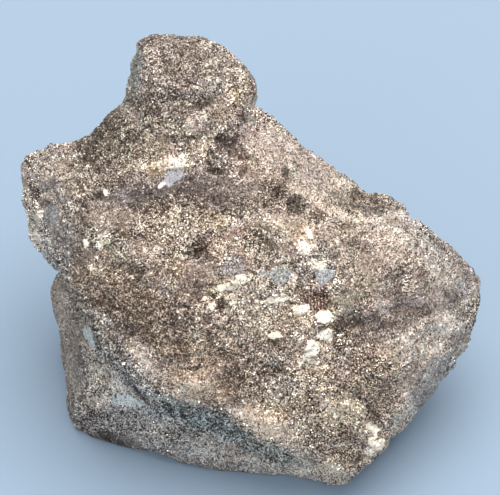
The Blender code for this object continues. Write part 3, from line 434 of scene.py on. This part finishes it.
# Cleavage faces that mirror the room: a spot, how bare of other grains it is, brightness, red, green, blue.
# Their blue-grey tint and brightness are partly a painted reflection of the blue room, beside the real one
MIRRORS = (
    (-10.2, 9.5, 1.6, 0.75, 35, 0.9, -0.95, 0.89, 0.99, 1.24),
    (-2.2, -2, 1.7, 1.1, 20, 0.3, -1.8, 0.98, 0.98, 1.1),
    (4.1, -3.4, 1.4, 1.2, 0, 0.7, -1.05, 0.9, 1.03, 1.13),
    (2.1, -3, 0.9, 0.5, 0, 0.7, -0.95, 0.9, 1.02, 1.16),
    (9.7, -3.4, 1.2, 1, 30, 0.85, -0.85, 0.9, 1.02, 1.16),
    (-21.2, -11.3, 0.55, 1.5, 24, 0.9, -0.45, 0.93, 1.04, 1.1),
    (-16.3, -19.8, 1.8, 0.75, -14, 0.85, 0, 0.96, 1.03, 1.09),
    (-26.2, 4.4, 1, 1.5, 0, 0.5, -1.7, 0.92, 1.03, 1.16),
)


def to_face(places):
    """(x, v, w) of places in the part's frame."""
    seen = places - FACE_MIDDLE
    w = seen @ OUT_OF_FACE
    nearness = 1.0 - w / VIEW_DISTANCE
    return (seen @ RIGHT) / nearness, (seen @ UP_FACE) / nearness, w


def chance(corners, seed):
    """A number from 0 to 1 for each whole-numbered place, the same each time. The large numbers only mix."""
    c = corners.astype(np.int64)
    mixed = (c[..., 0] * 73856093) ^ (c[..., 1] * 19349663) ^ (c[..., 2] * 83492791) ^ (seed * 2654435761)
    mixed = mixed.astype(np.uint32)
    for shift, factor in ((16, 0x7FEB352D), (15, 0x846CA68B), (16, 1)):
        mixed ^= mixed >> np.uint32(shift)
        mixed *= np.uint32(factor)
    return mixed.astype(np.float32) / np.float32(2**32)


def chances(corners, seed):
    """Three numbers from -1 to 1 for each whole-numbered place in space."""
    return np.stack([chance(corners, seed + axis) for axis in range(3)], axis=1) * 2 - 1


def swell(places, size, seed):
    """Smooth noise from -1 to 1 with lumps of about this size."""
    at = places / size
    low = np.floor(at)
    part = (at - low).astype(np.float32)
    ease = part * part * (3 - 2 * part)
    total = np.zeros(len(places), np.float32)
    for corner in np.ndindex(2, 2, 2):
        weight = np.prod(np.where(corner, ease, 1 - ease), axis=1)
        total += weight * chance(low + corner, seed)
    return total * 2 - 1


def rough(places, size, seed):
    """Noise with lumps of this size and two sizes of smaller ones on them."""
    return (swell(places, size, seed) + 0.5 * swell(places, size / 2.1, seed + 1)
            + 0.25 * swell(places, size / 4.3, seed + 2)) / 1.3


def jostled(places, size, seed):
    """The places, each moved a little, so that borders drawn with them wander."""
    return places + 0.35 * size * np.stack([swell(places, size, seed + axis) for axis in range(3)], axis=1)


def grains(places, size, seed):
    """For each place: its grain's middle, and how near the border to the next grain it is, in sizes."""
    at = places / size
    cell = np.floor(at)
    nearest = np.full(len(places), 9.0)
    second = np.full(len(places), 9.0)
    middle = np.zeros_like(at)
    for step in np.ndindex(3, 3, 3):
        here = cell + (np.array(step) - 1)
        seedling = here + 0.5 + 0.45 * chances(here, seed)
        far = np.linalg.norm(at - seedling, axis=1)
        closer = far < nearest
        second = np.where(closer, nearest, np.minimum(second, far))
        nearest = np.where(closer, far, nearest)
        middle[closer] = seedling[closer]
    return middle * size, second - nearest


def unit(vectors):
    return vectors / np.maximum(np.linalg.norm(vectors, axis=-1, keepdims=True), 1e-9)


def key_of(middle):
    """A whole-numbered place for each grain, to draw its chances from."""
    return np.floor(middle * 977.0)


def cleavage_axes(places):
    """The three directions across the cleavage faces at each place. They hold over one domain."""
    middle = grains(jostled(places, DOMAIN, 71), DOMAIN, 81)[0]
    first = unit(chances(key_of(middle), 91))
    second = unit(np.cross(first, chances(key_of(middle), 95)))
    return np.stack([first, second, np.cross(first, second)], axis=1)


def hump(x, v, spot):
    """1 in the middle of a spot, falling to 0 a little outside its edge."""
    cx, cv, half_x, half_v, turn = (*spot, 0)[:5]
    c, s = math.cos(math.radians(turn)), math.sin(math.radians(turn))
    dx, dv = x - cx, v - cv
    far = ((dx * c + dv * s) / half_x) ** 2 + ((dv * c - dx * s) / half_v) ** 2
    return np.clip(1.6 - far, 0.0, 1.0)


def near_line(x, v, points, half_width):
    """1 beside a line of points, falling to 0 a little outside the half width."""
    best = np.full(len(x), np.inf)
    for (ax, av), (bx, bv) in zip(points, points[1:]):
        along = ((x - ax) * (bx - ax) + (v - av) * (bv - av)) / ((bx - ax) ** 2 + (bv - av) ** 2)
        along = np.clip(along, 0, 1)
        best = np.minimum(best, np.hypot(x - ax - along * (bx - ax), v - av - along * (bv - av)))
    return np.clip(1.5 - best / half_width, 0, 1)


def character(places, normals):
    """What the metal is like at these places: tone, how lively its grains are, tint, shine and the rest. The
    tone and tint carry painted light and shade as well as the metal's own colour.
    """
    x, v, _ = to_face(jostled(jostled(places, 1.6, 21), 0.5, 25))
    spot_x, spot_v, _ = to_face(jostled(jostled(places, 0.7, 23), 0.3, 27))
    seen = np.clip(normals @ OUT_OF_FACE * 4 + 0.6, 0, 1)
    ragged = 0.45 * swell(places, 0.6, 69) + 0.2 * swell(places, 0.25, 70)
    look = bare_metal(places, seen)
    put_areas(look, x, v, spot_x, spot_v, seen)
    look["tone"] += mottle(places) * look["liveliness"]
    put_streaks(look, x, v, seen)
    put_spots(look, spot_x, spot_v, seen)
    put_chips(look, places)
    put_white(look, places, spot_x, spot_v, seen, ragged)
    put_plates(look, places, spot_x, spot_v, seen, ragged)
    put_lines(look, spot_x, spot_v, seen)
    mirrored = (MIRROR_METALLIC - SKIN_METALLIC) * look["shine"]
    look["metallic"] = SKIN_METALLIC * (1.0 - look["white"]) + mirrored
    look["sparkle_dots"] = look["liveliness"] * dot_share(look["tone"], SPARKLE_SHARE)
    look["dark_dots"] = look["liveliness"] * dot_share(look["tone"], DARK_SHARE)
    return look


def bare_metal(places, seen):
    """The metal's own brightness, liveliness and tint, with a greyer coat on parts of the sides."""
    tone = TONE + 0.35 * rough(places, 6.0, 41) * (1.0 - 0.6 * seen)
    liveliness = np.clip(1.0 + 1.1 * rough(places, 3.0, 51), 0.45, 1.45)
    hue = rough(places, 3.0, 61)[:, None]
    coat = np.clip(1.6 * rough(places, 9.0, 65) - 0.2, 0, 1)[:, None] * (1.0 - seen)[:, None]
    tint = 1.0 + hue * np.array((0.05, 0.01, -0.07)) + coat * (np.array(GREY_COAT) - 1.0)
    tint += rough(places, 1.7, 63)[:, None] * np.array((0.035, -0.035, 0.035))
    return {"tone": tone, "liveliness": liveliness, "tint": tint}


def put_areas(look, x, v, spot_x, spot_v, seen):
    """The areas and bands, some of them painted light and shade, each over the ones before it, then the hues
    and the metal's warmth.
    """
    regions = [(hump(x, v, area), area[5:]) for area in AREAS]
    regions += [(near_line(spot_x, spot_v, points, width), values) for points, width, *values in LIT_AND_SHADED_BANDS]
    for share, (brighter, contrast, *percent) in regions:
        colour = (100 + np.array(percent or PLAIN_TINT)) / 100
        share = share * seen
        look["tone"] += brighter * share
        look["liveliness"] += (contrast - look["liveliness"]) * share
        look["tint"] += (colour - look["tint"]) * AREA_TINT * share[:, None]
    for steps, spots in HUES.items():
        for spot in spots:
            redder = 2.0 ** (0.5 * steps * hump(x, v, spot) * seen)
            look["tint"] *= np.stack([redder, np.ones(len(x)), 1.0 / redder], axis=1)
    look["tint"] *= WARMTH


def mottle(places):
    """Small brighter and darker patches, and thin veins between them."""
    veins = 1.0 - 2.4 * np.abs(swell(jostled(places, 1.0, 55), 1.5, 57))
    patches = 1.35 * rough(places, 1.9, 45) + 1.25 * swell(places, 0.5, 49)
    return PATCH_MOTTLE * np.clip(patches, -1, 1) + VEIN_MOTTLE * np.clip(veins, -1, 1)


def put_streaks(look, x, v, seen):
    for number, (*area, direction, strength) in enumerate(STREAKS):
        c, s = math.cos(math.radians(direction)), math.sin(math.radians(direction))
        flow = np.stack([(x * c + v * s) / STREAK_SIZE[0], (v * c - x * s) / STREAK_SIZE[1], 0 * x], axis=1)
        look["tone"] += strength * rough(flow, 1.0, 201 + 5 * number) * hump(x, v, area) * seen


def put_spots(look, x, v, seen):
    # Painted light and shade, with the metal's own tone
    for steps, spots in TONE_AND_LIGHT_SPOTS.items():
        for spot in spots:
            look["tone"] += SPOT_STRENGTH * steps * hump(x, v, spot) * seen
    for points, width, darker in CRACKS:
        look["tone"] -= darker * near_line(x, v, points, width) * seen


def put_chips(look, places):
    """Small bright chips, most where the metal is bright, and small dark pits, which are painted shade."""
    lively = np.clip(look["liveliness"], 0, 1)
    chips = 0.75 * rough(places, 1.1, 73) + 0.5 * swell(places, 0.4, 77)
    bright_chip = np.clip(8.0 * (chips - 0.52 + 0.20 * (look["tone"] - TONE)), 0, 1) * lively
    look["tone"] += np.maximum(CHIP_TONE - look["tone"], 0) * 0.85 * bright_chip
    look["tone"] -= PIT_SHADE * np.clip(8.0 * (-chips - 0.58), 0, 1) * lively


def put_white(look, places, x, v, seen, ragged):
    """The white crystals and cream clumps of the face, and cream ones here and there on the hidden sides."""
    white = np.zeros(len(places))
    for spot in WHITE_CRYSTALS:
        white = np.maximum(white, (hump(x, v, spot) + 0.7 * ragged > 0.6) * (seen > 0.5))
    cream = np.zeros(len(places))
    for spot in CREAM_CLUMPS:
        near = hump(x, v, spot)
        cream = np.maximum(cream, (near + 1.7 * ragged > 0.65) * (near > 0.02) * (seen > 0.5))
    cream = np.maximum(cream, (0.9 * rough(places, 1.5, 141) + ragged > 0.78) * hidden_share(seen))
    turn_to(look, cream, CREAM_TONE, CREAM_TINT)
    turn_to(look, white, WHITE_TONE, WHITE_TINT)
    look["liveliness"] *= (1.0 - 0.92 * white) * (1.0 - 0.65 * cream)
    look["white"] = np.maximum(white, cream)


def turn_to(look, share, tone, tint, bare=1.0):
    """Brings each place to this brightness and tint by its share."""
    look["tone"] += (tone - look["tone"]) * bare * share
    look["tint"] += (np.array(tint) - look["tint"]) * share[:, None]


def hidden_share(seen):
    """1 on the sides that face away from the camera."""
    return np.clip(1.0 - 2.0 * seen, 0, 1)


def put_plates(look, places, x, v, seen, ragged):
    """The cleavage faces: those of the broken face, and more of their kind on the hidden sides."""
    shine = np.zeros(len(places))
    for spot in MIRRORS:
        near = hump(x, v, spot)
        inside = (near - 1.3 * ragged > 0.5) * (near > 0.02) * (seen > 0.5)
        bare, steps, *colour = spot[5:]
        shine = np.maximum(shine, bare * inside)
        turn_to(look, inside, steps, colour, bare)
    plate = (rough(places, 2.4, 145) - 0.4 * ragged > 0.52) * (1 - look["white"])
    hidden_plate = 0.8 * hidden_share(seen) * plate
    look["shine"] = np.maximum(shine, hidden_plate)
    turn_to(look, hidden_plate, HIDDEN_PLATE[0], HIDDEN_PLATE[1:])


def put_lines(look, x, v, seen):
    """Where the fine upright lines are. The material draws them."""
    look["lines"] = hump(x, v, LINED_PATCH) * seen
    look["tone"] -= LINE_SHADE * look["lines"]
    look["tint"] += np.clip(look["lines"], 0, 1)[:, None] * np.array((0.04, -0.05, 0.0))


def dot_share(tone, shares):
    usual, per_step, least, most = shares
    return np.clip(usual + per_step * (tone - TONE), least, most)


def read(collection, name):
    found = np.empty(len(collection) * 3, np.float32)
    collection.foreach_get(name, found)
    return found.reshape(-1, 3).astype(float)


def placed(name, data):
    """A new object in the scene."""
    obj = bpy.data.objects.new(name, data)
    bpy.context.scene.collection.objects.link(obj)
    return obj


def with_modifiers(mesh, settings):
    """The mesh as these modifiers leave it. Each is a type and its values."""
    obj = placed("work", mesh)
    for kind, values in settings:
        modifier = obj.modifiers.new(kind.lower(), kind)
        for name, value in values.items():
            setattr(modifier, name, value)
    changed = bpy.data.meshes.new_from_object(obj.evaluated_get(bpy.context.evaluated_depsgraph_get()))
    bpy.data.objects.remove(obj)
    return changed


def fine_skin(solid):
    """The solid's skin in small cells, in millimetres, with its facets melted into one another."""
    mesh = solid.data.copy()
    mesh.transform(Matrix.Scale(1.0 / MM, 4))
    rounds = round((MELT / CELL) ** 2 * 4)
    remesh = ("REMESH", {"mode": "VOXEL", "voxel_size": CELL})
    return with_modifiers(mesh, (remesh, ("SMOOTH", {"factor": 0.5, "iterations": rounds})))


def relief(smooth, outward, look):
    """The skin's places with its grains and cleavage faces. The base stays flat."""
    lift = grainy(smooth, outward, look)
    lift *= np.clip((smooth[:, 2] - RELIEF_START) / RELIEF_RISE, 0, 1)
    raised = mirror_plates(smooth, lift, outward)
    raised[:, 2] = np.maximum(raised[:, 2], 0.0)
    return raised


def grainy(places, normals, look):
    """How far each place stands out of or into the smooth skin."""
    lift = sum(height * rough(places, size, seed) for size, height, seed in SWELLS)
    lift += WHITE_LIFT * look["white"]
    axes = cleavage_axes(places)
    for size, step, slope, seed in GRAINS:
        moved = jostled(places, size, seed)
        middle, border = grains(moved, size, seed + 3)
        luck = chances(key_of(middle), seed + 6)
        chosen = np.clip(((luck[:, 0] + 1) * 1.5).astype(int), 0, 2)
        face = axes[np.arange(len(places)), chosen] + FACE_STRAY * chances(key_of(middle), seed + 9)
        upright = (face * normals).sum(1)
        face = face * np.sign(upright)[:, None]
        across = face - np.abs(upright)[:, None] * normals
        fall = ((moved - middle) * across).sum(1)
        lift += (step * luck[:, 1] - slope * fall) * look["liveliness"]
        lift -= GROOVE_DEPTH * size * np.clip(1.0 - border / GROOVE_WIDTH, 0, 1)
    lift -= HOLLOW_DEPTH * np.clip(rough(places, 1.5, 171) - 0.55, 0, 1)
    return lift * np.clip(EDGE_ON + 1.1 * np.abs(normals @ OUT_OF_FACE), EDGE_ON, 1.0)


def mirror_plates(places, lift, normals):
    """The raised places, flattened inside each cleavage face."""
    x, v, _ = to_face(jostled(places, 0.7, 23))
    raised = places + normals * lift[:, None]
    for spot in MIRRORS:
        inside = (hump(x, v, spot) > 0.0) & (normals @ OUT_OF_FACE > 0.1)
        if not inside.any():
            continue
        middle = raised[inside].mean(axis=0)
        plane = np.linalg.svd(places[inside] - places[inside].mean(axis=0), full_matrices=False)[2][2]
        height = (raised[inside] - middle) @ plane
        flatness = np.clip(hump(x, v, spot)[inside] * 1.6, 0, 0.9)
        raised[inside] -= (flatness * height)[:, None] * plane
    return raised


def dress_skin(skin, raised, look):
    """The pieces of the skin. They share the whole skin's normals, so no seam shows."""
    whole = skin.copy()
    whole.vertices.foreach_set("co", raised.astype(np.float32).ravel())
    whole.update()
    normals = read(whole.vertex_normals, "vector")
    material = metal("antimony", *SKIN_METAL)
    where = split(skin)
    for number, name in enumerate(SKIN_PIECES):
        piece = skin_piece(name, skin, where == number, raised, normals, look)
        finish_piece(piece, material)


def split(skin):
    """The number in SKIN_PIECES of each polygon's piece."""
    middles = read(skin.polygons, "center")
    _, _, w = to_face(middles)
    return np.where(w > SPLIT_HEIGHT, 0, 2) + (middles[:, 0] > 0)


def skin_piece(name, skin, chosen, places, normals, look):
    """One piece of the skin, from the polygons chosen."""
    corners = np.empty(len(skin.loops), np.int32)
    skin.loops.foreach_get("vertex_index", corners)
    quads = corners.reshape(-1, 4)[chosen]
    used, quads = np.unique(quads, return_inverse=True)
    mesh = bpy.data.meshes.new(name)
    smooth = read(skin.vertices, "co")[used]
    mesh.from_pydata(smooth * MM, [], quads.reshape(-1, 4))
    piece = placed(name, mesh)
    unwrap(piece)
    mesh.vertices.foreach_set("co", (places[used] * MM).astype(np.float32).ravel())
    mesh.shade_smooth()
    mesh.normals_split_custom_set_from_vertices(normals[used])
    put_look(mesh, {key: values[used] for key, values in look.items()})
    return piece


def unwrap(piece):
    """A map for the piece's surface, made while the skin is smooth, so that it has few islands."""
    piece.data.uv_layers.new(name="OFBake")
    bpy.context.view_layer.objects.active = piece
    piece.select_set(True)
    bpy.ops.object.mode_set(mode="EDIT")
    bpy.ops.mesh.select_all(action="SELECT")
    bpy.ops.uv.smart_project(angle_limit=1.2, island_margin=0.002, scale_to_bounds=False)
    bpy.ops.object.mode_set(mode="OBJECT")
    piece.select_set(False)


def put_look(mesh, look):
    """Writes the look on the mesh, where the material reads it."""
    for key in ("tone", "sparkle_dots", "dark_dots", "liveliness", "shine", "lines", "metallic", "white"):
        mesh.attributes.new(key, "FLOAT", "POINT").data.foreach_set("value", look[key].astype(np.float32))
    tint = np.concatenate([look["tint"], np.ones((len(look["tint"]), 1))], axis=1).astype(np.float32)
    mesh.attributes.new("tint", "FLOAT_COLOR", "POINT").data.foreach_set("color", tint.ravel())


def dress_crystals(raised, outward, look):
    """The crystals, most where the metal is lively and bright, in pieces by where they stand."""
    rng = np.random.default_rng(CRYSTAL_SEED)
    material = metal("antimony_crystals", *CRYSTAL_METAL)
    weights = np.clip(look["liveliness"] - 0.35, 0.05, 2) ** 2 * np.clip(1 - look["shine"], 0, 1)
    weights *= 2.0 ** np.clip(look["tone"] - TONE, -1, 1)
    weights *= raised[:, 2] > LOWEST_CRYSTAL
    right = raised[:, 0] > 0
    front = to_face(raised)[2] > CRYSTAL_SPLIT
    for number in range(CRYSTAL_PIECES):
        quarter = weights * (right == (number % 2)) * (front == (number // 2))
        count = int(CRYSTALS * quarter.sum() / weights.sum())
        name = f"crystals_{number + 1}"
        piece, chosen = crystals(name, rng, count, raised, outward, look, quarter)
        own = {key: np.repeat(values[chosen], 8, axis=0) for key, values in look.items()}
        own["tone"] = own["tone"] + np.repeat(rng.normal(*CRYSTAL_TONE, count), 8)
        put_look(piece.data, own)
        finish_piece(piece, material)


def crystals(name, rng, count, places, normals, look, weights):
    """One piece of small crystals that stand half out of the skin, each square to its domain's cleavage."""
    chosen = rng.choice(len(places), count, p=weights / weights.sum())
    middles = places[chosen]
    upright = normals[chosen]
    axes = unit(cleavage_axes(middles) + rng.normal(0, CRYSTAL_LEAN, (count, 3, 3)))
    size = np.clip(rng.lognormal(math.log(CRYSTAL_SIZE), CRYSTAL_SPREAD, count), *CRYSTAL_LIMITS)
    size = size * (1.0 + 0.7 * look["white"][chosen])
    size *= np.clip(0.4 + 1.1 * np.abs(upright @ OUT_OF_FACE), 0.4, 1.0)
    halves = size[:, None] * rng.uniform(*CRYSTAL_SHAPE, (count, 3))
    sunk = middles - upright * (CRYSTAL_DEPTH * size)[:, None]
    return crystal_mesh(name, rng, sunk, axes, halves), chosen


def crystal_mesh(name, rng, middles, axes, halves):
    """Boxes with uneven corners. Each side has a square of its own on the surface map."""
    count = len(middles)
    signs = np.array([(x, y, z) for z in (-1, 1) for y in (-1, 1) for x in (-1, 1)], float)
    corners = signs[None] * halves[:, None]
    corners = corners * rng.uniform(CRYSTAL_CORNER, 1.0, (count, 8, 1))
    points = middles[:, None] + np.einsum("nki,nij->nkj", corners, axes)
    sides = np.array(((0, 2, 3, 1), (4, 5, 7, 6), (0, 1, 5, 4), (2, 6, 7, 3), (0, 4, 6, 2), (1, 3, 7, 5)))
    flipped = np.linalg.det(axes) < 0
    quads = sides[None] + 8 * np.arange(count)[:, None, None]
    quads[flipped] = quads[flipped][:, :, ::-1]
    points = points.reshape(-1, 3)
    points[:, 2] = np.maximum(points[:, 2], 0.02)
    mesh = bpy.data.meshes.new(name)
    mesh.from_pydata(points * MM, [], quads.reshape(-1, 4))
    layer = mesh.uv_layers.new(name="OFBake")
    across = math.ceil(math.sqrt(count * 6))
    cell = np.arange(count * 6)
    low = np.stack([cell % across, cell // across], axis=1)[:, None]
    square = np.array(((0.15, 0.15), (0.85, 0.15), (0.85, 0.85), (0.15, 0.85)))
    layer.data.foreach_set("uv", ((low + square) / across).astype(np.float32).ravel())
    return placed(name, mesh)


class Nodes:
    """Short calls for the nodes of one material."""

    def __init__(self, name):
        self.material = bpy.data.materials.new(name)
        self.material.use_nodes = True
        self.tree = self.material.node_tree
        self.shader = self.tree.nodes["Principled BSDF"]

    def add(self, kind, settings=None, **inputs):
        node = self.tree.nodes.new(kind)
        for key, value in (settings or {}).items():
            setattr(node, key, value)
        for key, value in inputs.items():
            self.set(node.inputs[key.replace("_", " ")], value)
        return node

    def set(self, socket, value):
        if isinstance(value, bpy.types.NodeSocket):
            self.tree.links.new(value, socket)
        else:
            socket.default_value = value

    def math(self, operation, *values, kind="ShaderNodeMath"):
        node = self.add(kind, {"operation": operation})
        for socket, value in zip(node.inputs, values):
            self.set(socket, value)
        return node.outputs[0]

    def steep(self, value, slope):
        """The value times the slope, kept between 0 and 1."""
        result = self.math("MULTIPLY", value, slope)
        result.node.use_clamp = True
        return result

    def towards(self, start, end, share):
        return self.math("MULTIPLY_ADD", share, self.math("SUBTRACT", end, start), start)

    def vector(self, operation, *values):
        return self.math(operation, *values, kind="ShaderNodeVectorMath")

    def scaled(self, vector, factor):
        result = self.vector("SCALE", vector)
        self.set(result.node.inputs["Scale"], factor)
        return result

    def attribute(self, name, output="Fac"):
        return self.add("ShaderNodeAttribute", {"attribute_name": name}).outputs[output]

    def cells(self, at, scale):
        """Three numbers from 0 to 1 for each grain, as a colour."""
        return self.add("ShaderNodeTexVoronoi", None, Vector=at, Scale=scale).outputs["Color"]

    def parts(self, colour):
        return self.add("ShaderNodeSeparateColor", None, Color=colour).outputs

    def scattered(self, cells, width):
        """A small vector for each grain, any way round."""
        return self.scaled(self.vector("SUBTRACT", cells, (0.5, 0.5, 0.5)), width)


def metal(name, contrast, roughness, tilt):
    """Granular metal. Each grain has its own brightness, and its face leans its own way."""
    n = Nodes(name)
    at = n.scaled(n.add("ShaderNodeTexCoord").outputs["Object"], 1.0 / MM)
    small = n.cells(at, SMALL_GRAINS)
    large = n.cells(at, LARGE_GRAINS)
    facets = n.cells(at, FACETS)
    shine = n.attribute("shine")
    calm = n.math("MULTIPLY_ADD", shine, -MIRROR_CALM, 1.0)
    glint = glints(n, facets, calm)
    tone = grain_tone(n, at, small, contrast, calm)
    tone = dotted(n, tone, small, large, calm)
    tone = n.towards(tone, SPARKLE_DOT, glint)
    n.set(n.shader.inputs["Base Color"], metal_colour(n, tone))
    dull = n.math("ADD", n.math("MULTIPLY", n.parts(small)[2], 0.3), roughness)
    dull = n.math("MULTIPLY_ADD", shine, -0.1, dull)
    n.set(n.shader.inputs["Roughness"], n.towards(dull, FLASH_ROUGHNESS, glint))
    n.set(n.shader.inputs["Metallic"], n.towards(n.attribute("metallic"), 1.0, glint))
    lean = n.vector("ADD", n.scattered(small, tilt), n.scattered(large, tilt))
    n.set(n.shader.inputs["Normal"], leaning_normal(n, n.scaled(lean, calm), facets, glint))
    return n.material


def grain_tone(n, at, small, contrast, calm):
    """The brightness that the skin gives, the grains' differences from it, and the fine upright lines."""
    cloud = n.add("ShaderNodeTexNoise", None, Vector=at, **CLOUD).outputs["Fac"]
    own = n.math("MULTIPLY_ADD", n.parts(small)[2], 2.6, -1.3)
    own = n.math("ADD", own, n.math("MULTIPLY_ADD", cloud, 2.0, -1.0))
    for share in (contrast, n.attribute("liveliness"), calm):
        own = n.math("MULTIPLY", own, share)
    across = n.add("ShaderNodeSeparateXYZ", None, Vector=at).outputs[0]
    wave = n.math("MULTIPLY_ADD", cloud, 7.0, n.math("MULTIPLY", across, math.tau / LINE_DISTANCE))
    wave = n.math("MULTIPLY", n.math("SINE", wave), 1.5)
    own = n.math("MULTIPLY_ADD", wave, n.attribute("lines"), own)
    return n.math("ADD", own, n.attribute("tone"))


def dotted(n, tone, small, large, calm):
    """The brightness with sparkle dots, painted highlights, and dark dots, partly painted shade. Each is a
    small grain, and they clump on the same large grains.
    """
    for number, share, target in ((0, "sparkle_dots", SPARKLE_DOT), (1, "dark_dots", DARK_DOT)):
        clump = n.math("SUBTRACT", n.parts(large)[number], 0.5)
        clumped = n.math("MULTIPLY_ADD", clump, CLUMPING, n.parts(small)[number])
        over = n.math("SUBTRACT", clumped, n.math("SUBTRACT", 1.0, n.attribute(share)))
        tone = n.towards(tone, target, n.math("MULTIPLY", n.steep(over, 9.0), calm))
    return tone


def glints(n, facets, calm):
    """1 on the few facets that flash."""
    line = n.math("MULTIPLY_ADD", n.attribute("sparkle_dots"), -SPARKS, 1.0)
    over = n.math("SUBTRACT", n.parts(facets)[0], line)
    return n.math("MULTIPLY", n.steep(over, 30.0), calm)


def metal_colour(n, tone):
    """The metal's colour at this brightness, with the skin's tint."""
    place = n.math("DIVIDE", n.math("SUBTRACT", tone, DARKEST), -DARKEST)
    ramp = n.add("ShaderNodeValToRGB", None, Fac=place)
    stops = ramp.color_ramp.elements
    while len(stops) < len(METAL_COLOURS):
        stops.new(0.5)
    for stop, (steps, *colour) in zip(stops, METAL_COLOURS):
        stop.position = 1.0 - steps / DARKEST
        stop.color = (*colour, 1.0)
    tinted = n.add("ShaderNodeMix", {"data_type": "RGBA", "blend_type": "MULTIPLY"})
    tinted.inputs[0].default_value = 1.0
    n.set(tinted.inputs[6], ramp.outputs[0])
    n.set(tinted.inputs[7], n.attribute("tint", "Color"))
    return tinted.outputs[2]


def leaning_normal(n, lean, facets, glint):
    """Each grain's own normal. Flashing facets and white crystals turn towards the large light."""
    outward = n.add("ShaderNodeNewGeometry").outputs["Normal"]
    own = n.vector("ADD", outward, lean)
    flash = n.vector("ADD", n.scattered(facets, FLASH_SCATTER), FLASH)
    flash = n.vector("ADD", flash, n.scaled(outward, 0.15))
    share = n.math("MAXIMUM", glint, n.math("MULTIPLY", n.attribute("white"), WHITE_FACED))
    turned = n.add("ShaderNodeMix", {"data_type": "VECTOR"}, Factor=share)
    n.set(turned.inputs[4], n.vector("NORMALIZE", own))
    n.set(turned.inputs[5], n.vector("NORMALIZE", flash))
    return n.vector("NORMALIZE", turned.outputs[1])


def plain(name, colour, roughness):
    n = Nodes(name)
    n.shader.inputs["Base Color"].default_value = (*colour, 1.0)
    n.shader.inputs["Roughness"].default_value = roughness
    return n.material


def finish_piece(piece, material):
    piece.data.materials.append(material)
    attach(piece, "root")
    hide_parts(NODE)


def studio():
    """A pale floor, two soft lights and a pale room."""
    mesh = bpy.data.meshes.new("floor")
    corners = [(x * FLOOR_HALF, y * FLOOR_HALF, 0) for x, y in ((-1, -1), (1, -1), (1, 1), (-1, 1))]
    mesh.from_pydata(corners, [], [(0, 1, 2, 3)])
    floor = placed("floor", mesh)
    mesh.materials.append(plain("floor_paper", FLOOR_COLOUR, FLOOR_ROUGHNESS))
    soft_light("key", *KEY_LIGHT)
    soft_light("fill", *FILL_LIGHT)
    world = bpy.data.worlds.new("room")
    world.use_nodes = True
    background = world.node_tree.nodes["Background"]
    background.inputs["Color"].default_value = (*ROOM_COLOUR, 1.0)
    background.inputs["Strength"].default_value = ROOM_STRENGTH
    bpy.context.scene.world = world
    bpy.context.scene.view_settings.view_transform = "Standard"


def soft_light(name, place, size, watts, colour):
    data = bpy.data.lights.new(name, "AREA")
    data.size = size
    data.energy = watts
    data.color = colour
    light = placed(name, data)
    light.location = place
    light.rotation_euler = (Vector(LIT_PLACE) - Vector(place)).to_track_quat("-Z", "Y").to_euler()


def camera():
    """The picture's view: straight at the broken face, half a metre away."""
    data = bpy.data.cameras.new("camera")
    data.sensor_width = SENSOR_WIDTH
    data.lens = data.sensor_width * VIEW_DISTANCE / (PICTURE_PIXELS * MM_PER_PIXEL)
    data.clip_start = 0.01
    eye = placed("camera", data)
    aim = FACE_MIDDLE + UP_FACE * AIM_UP
    eye.location = Vector(aim + OUT_OF_FACE * VIEW_DISTANCE) * MM
    eye.rotation_euler = Vector(-OUT_OF_FACE).to_track_quat("-Z", "Y").to_euler()
    bpy.context.scene.camera = eye


def main():
    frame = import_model()
    skin = fine_skin(frame["nodes"][NODE])
    smooth = read(skin.vertices, "co")
    outward = read(skin.vertex_normals, "vector")
    look = character(smooth, outward)
    raised = relief(smooth, outward, look)
    dress_skin(skin, raised, look)
    dress_crystals(raised, outward, look)
    studio()
    camera()


main()
